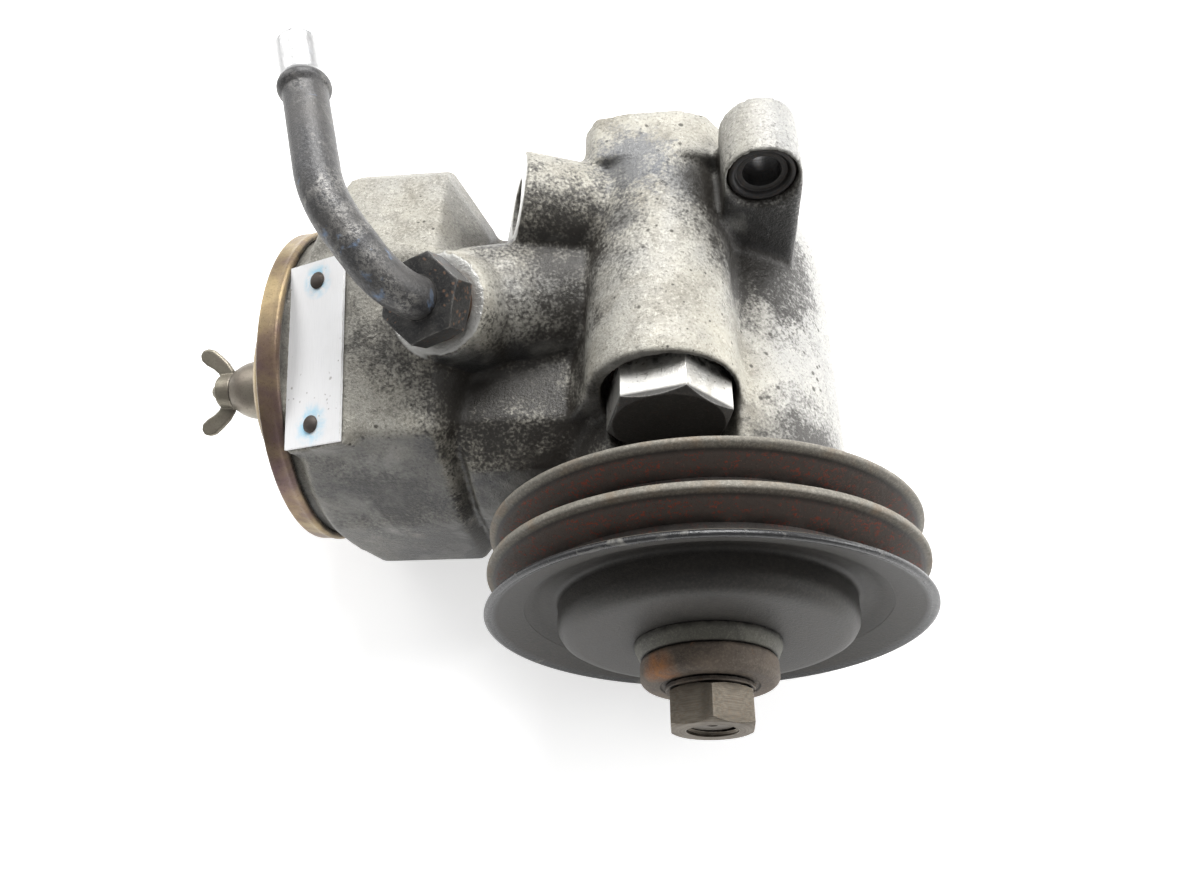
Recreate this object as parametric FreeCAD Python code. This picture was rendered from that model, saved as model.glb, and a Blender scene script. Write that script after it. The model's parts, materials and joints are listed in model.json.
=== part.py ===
import FreeCAD, Part
import math
import os

V = FreeCAD.Vector

# Frame: millimetres, +Z up. The drive shaft lies along Y and its nut points to -Y.
# The reservoir lies along X and its lid faces -X. The origin is on the shaft axis,
# in the middle plane of the two-groove pulley.

# ---- fits and clearances -------------------------------------------------
running = 0.05          # radial gap of a shaft, pin or piston in its bore
free = 0.3              # gap between parts that only pass each other
seated = 0.02           # gap between faces that meet
axial_play = 0.1        # gap on each side of the rotor

# ---- pulley ---------------------------------------------------------------
pulley_r = 62.5
groove_pitch = 12.0
groove_width = 10.0
groove_depth = 11.0
groove_half_angle = 18.0
flange_sheet = 2.0
drum_sheet = 3.0
dish_r = 42.0
dish_sheet = 3.0
dish_corner = 7.0
dish_front_y = -18.0
hub_r = 16.0
hub_rear_y = -3.5
collar_r = 20.5
collar_front_r = 19.0
collar_length = 4.6
clamp_washer_r = 19.0
clamp_washer_length = 7.2
spring_washer_r = 12.2
spring_washer_length = 1.2
nut_across_flats = 22.0
nut_height = 10.4

# ---- drive shaft and its bearing -------------------------------------------
thread_r = 7.0
journal_r = 8.5
shoulder_r = 10.5
seal_r = 10.0
rear_journal_r = 8.0
thread_recess = 1.6
bearing_r = 20.0
bearing_width = 12.0
bearing_front_y = 1.8
ball_r = 3.4
ball_count = 8
ball_pitch_r = 14.25
ball_gap = 0.12
race_step = 2.2
key_width = 5.0
key_r = 5.5
key_depth = 3.7
key_stand = 2.0
circlip_width = 1.2
circlip_depth = 1.4

# ---- pump housing ------------------------------------------------------------
nose_r = 27.0
nose_front_y = -1.0
body_r = 45.0
body_front_y = 16.0
body_rear_y = 124.0
body_rear_taper = ((45.0, -24.0), (44.0, -14.0), (42.2, -6.5), (40.4, -2.5), (37.5, 0.0))
cartridge_r = 31.0
cartridge_front_y = 62.0
front_passage_r = 11.0
seal_housing_r = 16.0
seal_length = 7.0

# ---- pumping cartridge ---------------------------------------------------------
wave_spring_length = 2.0
pressure_plate_length = 12.0
rotor_length = 22.0
end_cover_length = 20.0
ring_large_r = cartridge_r - 7.6
ring_small_r = ring_large_r - 2.0
rotor_r = ring_small_r - 1.4
vane_count = 10
vane_thickness = 1.8
vane_stroke = 1.2
vane_height = 0.61 * (rotor_r - journal_r)
dowel_r = 2.0
dowel_circle_r = ring_large_r + 2.8
wave_spring_r = cartridge_r - 5.0
wave_spring_inner_r = cartridge_r - 13.0
retaining_ring_wire = 1.5

# ---- flow control valve ----------------------------------------------------------
valve_x = -8.4
valve_shell_x = -9.9
valve_z = 44.1
valve_housing_r = 21.0
valve_front_y = 36.5
valve_pocket_depth = 5.5
pocket_gap = 0.7
valve_bore_r = 10.0
valve_bore_end_y = 112.0
plug_across_flats = 30.0
plug_turn = 46.0
plug_front_y = 27.0
plug_thread_r = 13.0
plug_thread_length = 13.0
plug_washer_r = 15.6
plug_washer_thickness = 1.5
piston_length = 24.0
piston_travel = 8.0
valve_spring_wire = 0.8
valve_spring_turns = 9
valve_spring_r = 6.6
relief_seat_r = 3.0
relief_seat_length = 6.0

# ---- reservoir --------------------------------------------------------------------
lid_axis_y = 74.2
reservoir_r = 49.4
reservoir_mouth_x = -122.0
reservoir_cone_x = -116.0
facet_start_x = -119.0
reservoir_end_x = -73.0
reservoir_end_length = 12.0
reservoir_end_inset = 14.0
reservoir_wall = 5.0
reservoir_mouth_r = 43.0
front_y = 21.0
rear_y = 126.0
suction_r = 7.0
suction_y = 70.0

# ---- lid, filter and stud ------------------------------------------------------------
lid_r = 51.2
lid_skirt = 7.0
lid_sheet = 1.3
lid_dome_r = 30.0
lid_dome_height = 12.0
gasket_thickness = 2.0
stud_r = 3.0
stud_tip_r = 2.1
stud_end_x = -164.0
stud_root_x = -60.0
lid_collar_r = 10.0
lid_collar_tip_x = -156.0
wing_hub_r = 6.0
wing_hub_length = 5.0
wing_span = 31.0
wing_turn = 62.0
filter_r = 30.0
filter_inner_r = 12.0
filter_start_x = -70.0
filter_length = 28.0
filter_cap_sheet = 1.5
filter_spring_wire = 1.0
filter_spring_turns = 5
filter_spring_r = 9.0
filter_spring_length = 12.0
retainer_r = 12.0

# ---- return union and pipe ---------------------------------------------------------------
union_seat = V(-70.0, 61.0, 57.0)
union_axis = V(-0.32, -0.44, 0.83).normalize()
union_seat_r = 14.8
union_boss_r = 23.0
union_boss_depth = 42.0
union_flank_r = 24.0
union_flank_end = V(-26.0, 82.0, 26.0)
union_across_flats = 22.0
union_hex_height = 8.5
union_thread_r = 8.0
union_thread_length = 12.0
union_washer_r = 10.6
union_washer_thickness = 1.5
return_passage_r = 4.5
pipe_r = 6.0
pipe_wall = 1.5
pipe_bend_radii = (14.0, 32.0)
pipe_bead_r = 7.2
pipe_bead_from_end = 16.0
pipe_rise = 22.0
pipe_corner = V(-93.0, 70.0, 89.0)
pipe_end = V(-105.3, 121.0, 97.0)

# ---- pressure port -------------------------------------------------------------------------
port_face = V(-51.0, 98.5, 54.0)
port_axis = V(-0.94, 0.0, 0.34).normalize()
port_r = 16.5
port_thread_r = 7.25
port_thread_depth = 15.0
port_passage_r = 3.5

# ---- mounting ear and rear bracket holes -----------------------------------------------------
ear_x = 19.3
ear_z = 69.3
ear_r = 10.9
ear_front_y = 88.0
ear_length = 21.0
ear_bore_r = 9.6
bush_bolt_r = 5.25
bush_recess = 1.6
bush_step_r = 7.4
bush_step_depth = 1.4
bracket_hole_r = 3.4
bracket_hole_depth = 16.0
bracket_boss_r = 7.0
bracket_boss_length = 24.0
bracket_circle_r = 38.0
bracket_angles = (-150.0, -90.0, -30.0)

# ---- rating plate ---------------------------------------------------------------------------------
plate_centre = V(-108.2, 55.4, 45.5)
plate_along = V(0.007, 0.945, 0.327).normalize()
plate_across = V(-0.917, 0.115, -0.382).normalize()
plate_length = 55.0
plate_width = 21.0
plate_thickness = 0.8
plate_lift = 0.9
rivet_spacing = 42.6
rivet_head_r = 2.6
rivet_shank_r = 1.4

SHAFT = V(0, 1, 0)
TO_LID = V(-1, 0, 0)
LID_CENTRE = V(0, lid_axis_y, 0)


# ---- shared shapes -----------------------------------------------------------------------------------
def placed(shape, base, direction, turn=0.0):
    """Stand a shape made about +Z on a base point, along a direction."""
    spin = FreeCAD.Rotation(V(0, 0, 1), turn)
    lean = FreeCAD.Rotation(V(0, 0, 1), direction)
    shape.Placement = FreeCAD.Placement(base, lean.multiply(spin))
    return shape


def turned(profile, base=V(0, 0, 0), direction=SHAFT):
    """Revolve a closed profile of (radius, distance along the axis) points."""
    points = [V(r, 0, h) for r, h in profile]
    face = Part.Face(Part.makePolygon(points + points[:1]))
    return placed(face.revolve(V(0, 0, 0), V(0, 0, 1), 360), base, direction)


def tube(inner_r, outer_r, start, end, base=V(0, 0, 0), direction=SHAFT):
    """A ring between two distances along its axis."""
    profile = [(inner_r, start), (outer_r, start), (outer_r, end), (inner_r, end)]
    return turned(profile, base, direction)


def rod(radius, start, end, base=V(0, 0, 0), direction=SHAFT):
    """A plain cylinder between two distances along its axis."""
    return tube(0, radius, start, end, base, direction)


def hexagon(across_flats, start, end, base=V(0, 0, 0), direction=SHAFT, turn=0.0, chamfer=1.2):
    """A hexagonal prism whose two ends have the usual turned chamfer."""
    corner = across_flats / math.sqrt(3)
    points = [V(corner * math.cos(math.radians(a)), corner * math.sin(math.radians(a)), start)
              for a in range(0, 360, 60)]
    prism = Part.Face(Part.makePolygon(points + points[:1])).extrude(V(0, 0, end - start))
    flat = across_flats / 2 - 0.2
    rise = chamfer
    cone = turned([(0, start), (flat, start), (corner + 0.5, start + rise),
                   (corner + 0.5, end - rise), (flat, end), (0, end)], V(0, 0, 0), V(0, 0, 1))
    return placed(prism.common(cone), base, direction, turn)


def prism(points, start, end, axis):
    """Extrude a polygon of points along X or Y between two places."""
    if axis == "x":
        corners = [V(start, a, b) for a, b in points]
        travel = V(end - start, 0, 0)
    else:
        corners = [V(a, start, b) for a, b in points]
        travel = V(0, end - start, 0)
    return Part.Face(Part.makePolygon(corners + corners[:1])).extrude(travel)


def coil(wire_r, mean_r, turns, start, end, base, direction):
    """A compression spring: a round wire wound in a helix."""
    height = end - start - 2 * wire_r
    helix = Part.makeHelix(height / turns, height, mean_r)
    wire = circle_at(V(mean_r, 0, 0), V(0, 1, 0), wire_r)
    spring = Part.Wire(helix.Edges).makePipeShell([wire], True, True)
    spring.translate(V(0, 0, start + wire_r))
    carrier = Part.makeCompound([spring])
    return placed(carrier, base, direction)


def joined(shapes):
    """Fuse several shapes and merge the faces that lie in one surface."""
    return shapes[0].fuse(shapes[1:]).removeSplitter()


def save(name, shape):
    """Write one node."""
    if not shape.isValid():
        print("not valid:", name)
    if len(shape.Solids) == 1:
        shape = shape.Solids[0]
    shape.exportStep(os.path.join("parts", name + ".step"))
    print(f"{name:28s} {len(shape.Solids)} solid(s) {shape.Volume / 1000:9.2f} cm3")


# ---- pulley --------------------------------------------------------------------------------------------
groove_slope = math.tan(math.radians(groove_half_angle))
groove_base_r = pulley_r - groove_depth
rim_half = (groove_pitch - groove_width) / 2
base_half = rim_half + groove_depth * groove_slope
rear_rim_y = groove_pitch + flange_sheet - rim_half
front_rim_y = -rear_rim_y
drum_half = groove_pitch - base_half + flange_sheet


def pulley_parts():
    """The three flanges that form the two V grooves, the drum, the dish and the hub."""
    lip = flange_sheet / 2
    middle = turned([(groove_base_r, -base_half), (pulley_r - 0.6, -rim_half), (pulley_r, -rim_half + 0.5),
                     (pulley_r, rim_half - 0.5), (pulley_r - 0.6, rim_half), (groove_base_r, base_half)])
    inner = groove_pitch - base_half
    outer = groove_pitch - rim_half
    side = [(groove_base_r, inner), (pulley_r - 0.6, outer), (pulley_r, outer + lip / 2),
            (pulley_r, outer + lip * 1.6), (pulley_r - 0.6, outer + flange_sheet),
            (groove_base_r, inner + flange_sheet)]
    save("pulley_middle_flange", middle)
    save("pulley_rear_flange", turned(side))
    save("pulley_front_flange", turned([(r, -y) for r, y in side]))
    drum_r = groove_base_r - drum_sheet
    flat = -drum_half + flange_sheet
    slope = flange_sheet
    save("pulley_drum", turned([(drum_r, flat + slope + seated), (groove_base_r - seated, flat + seated),
                                (groove_base_r - seated, drum_half), (drum_r, drum_half)]))
    wall_r = dish_r - dish_sheet
    c = dish_corner
    steps = [math.radians(a) for a in (0, 30, 60, 90)]
    outside = [(dish_r - c + c * math.sin(a), dish_front_y + c - c * math.cos(a)) for a in steps]
    n = c - dish_sheet
    inside = [(wall_r - n + n * math.sin(a), dish_front_y + dish_sheet + n - n * math.cos(a)) for a in steps]
    dish = [(journal_r + seated, dish_front_y)] + outside
    valley = -drum_half + slope * 1.3
    dish += [(dish_r, valley), (drum_r - 1.5, valley), (groove_base_r - seated, -drum_half)]
    dish += [(groove_base_r - seated, flat), (drum_r - 1.5, valley + flange_sheet), (wall_r, valley + flange_sheet)]
    dish += inside[::-1] + [(journal_r + seated, dish_front_y + dish_sheet)]
    save("pulley_dish", turned(dish))
    hub = tube(journal_r + seated, hub_r, dish_front_y + dish_sheet + seated, hub_rear_y)
    width = key_width + 2 * seated
    slot = Part.makeBox(width, 40, journal_r + key_stand + seated, V(-width / 2, dish_front_y + dish_sheet, 0))
    save("pulley_hub", hub.cut(slot))


def key_block(gap):
    """The woodruff key: a disc segment let into the shaft that stands out into the hub."""
    centre_y = (dish_front_y + dish_sheet + hub_rear_y) / 2
    height = journal_r - key_depth + key_r
    disc = Part.makeCylinder(key_r + gap, key_width + 2 * gap, V(-key_width / 2 - gap, centre_y, height), V(1, 0, 0))
    top = journal_r + key_stand
    keep = Part.makeBox(2 * key_width, 4 * key_r, top, V(-key_width, centre_y - 2 * key_r, 0))
    return disc.common(keep)


def pulley_clamp():
    """The collar, washers and nut that hold the pulley on the shaft's end."""
    y = dish_front_y - seated
    bore = journal_r + seated
    save("pulley_collar", turned([(bore, y), (collar_r, y), (collar_r, y - 1.5), (collar_front_r, y - collar_length),
                                  (bore, y - collar_length)]))
    y -= collar_length + seated
    bore = thread_r + 0.3
    end = y - clamp_washer_length
    save("clamp_washer", turned([(bore, y), (clamp_washer_r - 0.8, y), (clamp_washer_r, y - 0.8),
                                 (clamp_washer_r, end + 1.4), (clamp_washer_r - 1.4, end), (bore, end)]))
    y = end - seated
    end = y - spring_washer_length
    gap = Part.makeBox(spring_washer_r, 4 * spring_washer_length, 2.0, V(0, end - spring_washer_length, -1.0))
    save("spring_washer", tube(bore, spring_washer_r, end, y).cut(gap))
    y = end - seated
    nut = hexagon(nut_across_flats, y - nut_height, y, turn=30)
    save("pulley_nut", nut.cut(rod(thread_r + seated, y - nut_height - 1, y + 1)))
    return y - nut_height


# ---- shaft, key and front bearing ------------------------------------------------------------------------
bearing_rear_y = bearing_front_y + bearing_width
seal_rear_y = bearing_rear_y + seal_length
plate_front_y = cartridge_front_y + wave_spring_length
ring_front_y = plate_front_y + pressure_plate_length
ring_rear_y = ring_front_y + rotor_length
cover_rear_y = ring_rear_y + end_cover_length
rotor_circlip_y = ring_rear_y - 2.6
shaft_rear_y = cover_rear_y - 6.0
retaining_ring_y = cover_rear_y + seated


def shaft_parts(nut_front_y):
    """The stepped drive shaft, its key and the circlip that holds the rotor."""
    front = nut_front_y + thread_recess
    seat = dish_front_y - collar_length + 0.5
    shoulder = bearing_rear_y + seated
    steps = [(0, front + 3.0), (1.6, front), (thread_r - 1.0, front), (thread_r, front + 1.0), (thread_r, seat),
             (journal_r, seat), (journal_r, shoulder), (shoulder_r, shoulder), (shoulder_r, shoulder + 1.6),
             (seal_r, shoulder + 1.6), (seal_r, seal_rear_y + 4.0), (journal_r, seal_rear_y + 4.0),
             (journal_r, rotor_circlip_y + 1.8), (rear_journal_r, rotor_circlip_y + 1.8),
             (rear_journal_r, shaft_rear_y - 1.0), (rear_journal_r - 1.0, shaft_rear_y), (0, shaft_rear_y)]
    shaft = turned(steps).cut(key_block(seated))
    groove = tube(journal_r - 0.8, journal_r + 1.0, rotor_circlip_y, rotor_circlip_y + circlip_width)
    save("drive_shaft", shaft.cut(groove))
    save("pulley_key", key_block(0))
    ring = tube(journal_r - 0.78, journal_r + 1.6, rotor_circlip_y + seated, rotor_circlip_y + circlip_width - seated)
    mouth = Part.makeBox(5.0, 4 * circlip_width, 20.0, V(-2.5, rotor_circlip_y - circlip_width, 0))
    save("rotor_circlip", ring.cut(mouth))


def bearing_parts():
    """The deep-groove ball bearing in the housing's nose, and the circlip in front of it."""
    middle = bearing_front_y + bearing_width / 2
    track = Part.makeTorus(ball_pitch_r, ball_r + ball_gap, V(0, middle, 0), SHAFT)
    inner = tube(journal_r + seated, ball_pitch_r - race_step, bearing_front_y, bearing_rear_y)
    outer = tube(ball_pitch_r + race_step, bearing_r - seated, bearing_front_y, bearing_rear_y)
    save("bearing_inner_race", inner.cut(track))
    save("bearing_outer_race", outer.cut(track))
    balls = []
    pockets = []
    for index in range(ball_count):
        angle = 2 * math.pi * index / ball_count
        place = V(ball_pitch_r * math.cos(angle), middle, ball_pitch_r * math.sin(angle))
        balls.append(Part.makeSphere(ball_r, place))
        outward = V(math.cos(angle), 0, math.sin(angle))
        pockets.append(rod(ball_r + ball_gap, ball_pitch_r - 4, ball_pitch_r + 4, V(0, middle, 0), outward))
    save("bearing_balls", Part.makeCompound(balls))
    cage = tube(ball_pitch_r - 1.0, ball_pitch_r + 1.0, middle - ball_r - 0.9, middle + ball_r + 0.9)
    save("bearing_cage", cage.cut(Part.makeCompound(pockets)))
    end = bearing_front_y - seated
    clip = tube(bearing_r - 2.2, bearing_r + circlip_depth - 0.1, end - circlip_width, end)
    mouth = Part.makeBox(8.0, 4 * circlip_width, 30.0, V(-4.0, end - 2 * circlip_width, 0))
    save("bearing_circlip", clip.cut(mouth))


def shaft_seal():
    """The lip seal behind the bearing."""
    start = bearing_rear_y + seated
    end = seal_rear_y - seated
    lip = seal_r + running
    body = seal_r + 2.6
    profile = [(seal_housing_r - seated, start), (seal_housing_r - seated, end), (body, end), (body, start + 3.4),
               (lip + 0.6, end - 0.6), (lip, end - 1.4), (body - 0.8, start + 2.2), (body - 0.8, start)]
    save("shaft_seal", turned(profile))


# ---- pumping cartridge ---------------------------------------------------------------------------------------
def ring_radius(angle):
    """The cam ring's inner radius: two small and two large arcs in one turn."""
    mean = (ring_small_r + ring_large_r) / 2
    swing = (ring_large_r - ring_small_r) / 2
    return mean - swing * math.cos(2 * angle)


def cam_profile():
    """The cam ring's inner outline as a closed smooth curve."""
    count = 24
    points = []
    for index in range(count):
        angle = 2 * math.pi * index / count
        radius = ring_radius(angle)
        points.append(V(radius * math.cos(angle), ring_front_y - 1, radius * math.sin(angle)))
    curve = Part.BSplineCurve()
    curve.interpolate(points, PeriodicFlag=True)
    return Part.Face(Part.Wire(curve.toShape()))


def dowel_pair(radius, start, end):
    """Two pins that line the cam ring up with its plates."""
    pins = [rod(radius, start, end, V(side * dowel_circle_r, 0, 0)) for side in (-1, 1)]
    return Part.makeCompound(pins)


def vane_blade(angle, gap=0.0, extra=0.0):
    """One vane at its inner place, or the slot that it slides in when gap and extra are set."""
    start = ring_front_y + axial_play - extra
    end = ring_rear_y - axial_play + extra
    tip = ring_small_r - 0.25
    low = tip - vane_height - gap - (vane_stroke + 0.4 if extra else 0)
    high = tip + extra
    blade = Part.makeBox(high - low, end - start, vane_thickness + 2 * gap,
                         V(low, start, -vane_thickness / 2 - gap))
    blade.rotate(V(0, 0, 0), SHAFT, -math.degrees(angle))
    return blade


def cartridge_parts():
    """Wave spring, pressure plate, cam ring, rotor, vanes, end cover and what holds them."""
    outer = cartridge_r - seated
    wave = tube(wave_spring_inner_r, wave_spring_r, cartridge_front_y + 0.4, plate_front_y - 0.4)
    save("cartridge_wave_spring", wave)
    shaft_gap = journal_r + free
    plate = tube(shaft_gap, outer, plate_front_y, ring_front_y - seated)
    groove = tube(outer - 2.2, outer + 1, plate_front_y + 4.0, plate_front_y + 7.0)
    dowels = dowel_pair(dowel_r + seated, ring_front_y - 6.0, ring_rear_y + 6.0)
    save("pressure_plate", plate.cut(groove).cut(dowels))
    ring = rod(outer, ring_front_y, ring_rear_y)
    cam = cam_profile().extrude(V(0, rotor_length + 2, 0))
    save("cam_ring", ring.cut(cam).cut(dowels))
    save("cartridge_dowels", dowel_pair(dowel_r, ring_front_y - 5.8, ring_rear_y + 5.8))
    rotor = tube(journal_r + seated, rotor_r, ring_front_y + axial_play, ring_rear_y - axial_play)
    recess = rod(journal_r + 2.2, rotor_circlip_y - seated, ring_rear_y)
    slots = [vane_blade(2 * math.pi * (i + 0.5) / vane_count, running, 1.0) for i in range(vane_count)]
    save("rotor", rotor.cut(recess).cut(Part.makeCompound(slots)))
    for index in range(vane_count):
        save(f"vane_{index + 1:02d}", vane_blade(2 * math.pi * (index + 0.5) / vane_count))
    cover = turned([(0, shaft_rear_y + 1.5), (rear_journal_r + 2.0, shaft_rear_y + 1.5),
                    (rear_journal_r + 2.0, ring_rear_y + seated), (outer, ring_rear_y + seated),
                    (outer, cover_rear_y - 1.0), (outer - 1.0, cover_rear_y), (0, cover_rear_y)])
    groove = tube(outer - 2.2, outer + 1, ring_rear_y + 8.0, ring_rear_y + 11.0)
    save("end_cover", cover.cut(groove).cut(dowels))
    save("cartridge_o_rings", Part.makeCompound([seal_ring(plate_front_y + 5.5), seal_ring(ring_rear_y + 9.5)]))
    save("rear_bush", tube(rear_journal_r + running, rear_journal_r + 2.0 - seated,
                           ring_rear_y + 1.0, shaft_rear_y - 0.5))
    wire = Part.makeTorus(cartridge_r, retaining_ring_wire, V(0, retaining_ring_y + retaining_ring_wire, 0), SHAFT)
    mouth = Part.makeBox(6.0, 8.0, 10.0, V(-3.0, retaining_ring_y - 2, -cartridge_r - 5))
    save("end_cover_ring", wire.cut(mouth))


def seal_ring(middle_y):
    """A rubber O-ring squeezed between a plug's groove and the cartridge bore."""
    return Part.makeTorus(cartridge_r - 1.1, 1.05, V(0, middle_y, 0), SHAFT)


# ---- flow control valve --------------------------------------------------------------------------------------
VALVE = V(valve_x, 0, valve_z)
plug_seat_y = valve_front_y + valve_pocket_depth
plug_end_y = plug_seat_y + plug_thread_length
piston_rear_y = valve_bore_end_y - 1.5
piston_front_y = piston_rear_y - piston_length


def valve_parts():
    """The hexagon plug, its washer, the spring and the piston with its relief seat."""
    head_rear = plug_seat_y - plug_washer_thickness - seated
    head = hexagon(plug_across_flats, plug_front_y, head_rear, VALVE, turn=plug_turn, chamfer=1.8)
    stem = rod(plug_thread_r - seated, head_rear - 1, plug_end_y, VALVE)
    hollow = rod(valve_spring_r + valve_spring_wire + 1.0, plug_end_y - 9.0, plug_end_y + 1, VALVE)
    save("valve_plug", joined([head, stem]).cut(hollow))
    save("valve_plug_washer", tube(plug_thread_r + seated, plug_washer_r,
                                   head_rear + seated, plug_seat_y - seated, VALVE))
    r = valve_bore_r - running
    neck = r - 1.6
    well = valve_spring_r + valve_spring_wire + 0.9
    y0, y1 = piston_front_y, piston_rear_y
    profile = [(well, y0), (r, y0), (r, y0 + 8), (neck, y0 + 9), (neck, y1 - 9), (r, y1 - 8), (r, y1 - 1),
               (r - 1, y1), (relief_seat_r + seated, y1), (relief_seat_r + seated, y1 - relief_seat_length),
               (0, y1 - relief_seat_length), (0, y0 + 5), (well, y0 + 5)]
    save("valve_piston", turned(profile, VALVE))
    save("relief_valve_seat", tube(1.2, relief_seat_r, y1 - relief_seat_length + seated, y1 - 0.3, VALVE))
    save("valve_spring", coil(valve_spring_wire, valve_spring_r, valve_spring_turns,
                              plug_end_y - 9.0 + seated, y0 + 5 - seated, VALVE, SHAFT))


# ---- pump and reservoir casting ----------------------------------------------------------------------------------
def section(inset=0.0):
    """The reservoir's box section across X as (y, z) corners, with a parting line along its front."""
    k = inset
    return [(front_y + 9.5 + k, 40.0 - k), (front_y + k, 0.0), (front_y + 3.0 + k, -34.0 + k / 2),
            (front_y + 13.0 + k / 2, -47.0 + k), (rear_y - 16.0 - k / 2, -47.0 + k), (rear_y - 2.0 - k, -34.0 + k / 2),
            (rear_y - k, 5.0), (rear_y - 6.0 - k, 50.0 - k), (rear_y - 15.0 - k, 57.0 - k), (79.0, 59.0 - k)]


def box_section(inset, start, end, end_inset):
    """The box section as a straight length that then narrows to the waist."""
    straight = prism(section(inset), start, end, "x")
    wires = []
    for x, shrink in ((end, 0), (end + reservoir_end_length - inset / 2, end_inset)):
        corners = [V(x, y, z) for y, z in section(inset + shrink)]
        wires.append(Part.makePolygon(corners + corners[:1]))
    return joined([straight, Part.makeLoft(wires, True, True)])


def reservoir_outside():
    """The box section, cut by a cone at the lid end and by the sloping plate facet."""
    box = box_section(0, reservoir_mouth_x, reservoir_end_x, reservoir_end_inset)
    slope = 1.35
    far = reservoir_end_x + 20
    reach = reservoir_r + (far - reservoir_cone_x) * slope
    cone = turned([(0, -reservoir_mouth_x), (reservoir_r, -reservoir_mouth_x), (reservoir_r, -reservoir_cone_x),
                   (reach, -far), (0, -far)], LID_CENTRE, TO_LID)
    seat = plate_centre - plate_normal() * (plate_thickness / 2)
    slab = placed(Part.makeBox(200, 200, 60, V(-100, -100, 0)), seat - plate_normal() * plate_lift, plate_normal())
    slab = slab.cut(Part.makeBox(60, 300, 300, V(facet_start_x - 60, -100, -100)))
    drum = rod(reservoir_r - 1.4, -reservoir_mouth_x, -reservoir_cone_x, LID_CENTRE, TO_LID)
    return joined([box.common(cone).fuse(drum).cut(slab), plate_pad(seat)])


def plate_pad(seat):
    """The low pad that the rating plate is riveted to."""
    block = Part.makeBox(plate_width + 1, plate_length + 2, 12.0,
                         V(-plate_width / 2 - 0.5, -plate_length / 2 - 1, -12.0))
    block.Placement = FreeCAD.Placement(seat, plate_frame())
    return block.common(Part.makeBox(100, 300, 300, V(facet_start_x + 0.9, -100, -100)))


def plate_frame():
    """The turn from the row's axes to the plate's own width, length and normal."""
    return FreeCAD.Rotation(plate_across, plate_along, plate_normal(), "ZXY")


def reservoir_inside():
    """The oil space: the box section less its wall, and the round mouth under the lid."""
    wall = reservoir_wall
    hollow = box_section(wall, reservoir_mouth_x + 14, reservoir_end_x - wall / 2, reservoir_end_inset)
    slope = 1.2
    start = -reservoir_mouth_x - 8
    cone = turned([(0, start + 1), (reservoir_mouth_r, start + 1), (reservoir_mouth_r, start),
                   (reservoir_mouth_r + start * slope, 0), (0, 0)], LID_CENTRE, TO_LID)
    mouth = rod(reservoir_mouth_r - 1.0, -reservoir_end_x, -reservoir_mouth_x + 1, LID_CENTRE, TO_LID)
    return hollow.common(cone).fuse(mouth)


def pump_outside():
    """The pump's round body with its nose, the waist to the reservoir and the valve housing."""
    corner = [(r, body_rear_y + back) for r, back in body_rear_taper]
    body = turned([(0, nose_front_y), (nose_r, nose_front_y), (nose_r, body_front_y), (body_r - 3.5, body_front_y),
                   (body_r - 1.0, body_front_y + 14)] + corner + [(0, body_rear_y)])
    waist = prism([(front_y + 4, -34), (front_y + 2, 0), (front_y + 6, 22), (front_y + 16, 34), (92, 38), (106, 33),
                   (110, 0), (104, -34)], reservoir_end_x + 6, -body_r / 2, "x")
    r = valve_housing_r
    shell = rod(r, valve_front_y, body_rear_y - 1, V(valve_shell_x, 0, valve_z))
    left = valve_shell_x - r
    right = valve_shell_x + r
    top = valve_z + r
    web = prism([(left, valve_z), (right, valve_z), (right, 20), (-body_r + 8, 12), (-body_r + 4, 24)],
                valve_front_y, body_rear_y - 3, "y")
    block = prism([(left, valve_z), (left + 0.4, top - 7), (left + 4, top - 1.5), (left + 15, top), (right - 13, top),
                   (right - 5, top - 3), (right, top - 9), (right, valve_z)], body_rear_y - 18, body_rear_y, "y")
    bosses = [rod(bracket_boss_r, body_rear_y - bracket_boss_length, body_rear_y, place) for place in bracket_places()]
    return joined([body, waist, shell, web, block] + bosses)


def bracket_places():
    """The axes of the bracket holes in the rear face."""
    places = []
    for angle in bracket_angles:
        turn = math.radians(angle)
        places.append(V(bracket_circle_r * math.cos(turn), 0, bracket_circle_r * math.sin(turn)))
    return places


def union_boss():
    """The sloping boss that carries the return union."""
    axis = union_axis * -1
    cone = turned([(0, 0), (union_seat_r, 0), (union_boss_r, union_boss_depth), (0, union_boss_depth)],
                  union_seat, axis)
    flank = Part.makeLoft([circle_at(union_seat - union_axis * 5 + V(4, 4, -2), union_axis, 15.0),
                           circle_at(union_flank_end, V(-1, 0, 0.4), union_flank_r)], True, True)
    return joined([cone, flank])


def circle_at(centre, axis, radius):
    """A round wire about an axis."""
    return Part.Wire(Part.Edge(Part.Circle(centre, axis, radius)))


def port_boss():
    """The pressure port's round boss, run into the valve housing."""
    return rod(port_r, -38.0, 0, port_face, port_axis)


def ear():
    """The mounting ear: a round boss on a flat arm that stands on the body."""
    boss = rod(ear_r, ear_front_y, ear_front_y + ear_length, V(ear_x, 0, ear_z))
    right = ear_x + ear_r + 0.6
    arm = prism([(ear_x - ear_r, ear_z), (ear_x - ear_r + 1, 50), (4, 36), (14, 38), (right, 28), (right, ear_z - 4),
                 (ear_x + ear_r, ear_z)], ear_front_y, ear_front_y + ear_length, "y")
    return joined([boss, arm])


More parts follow.
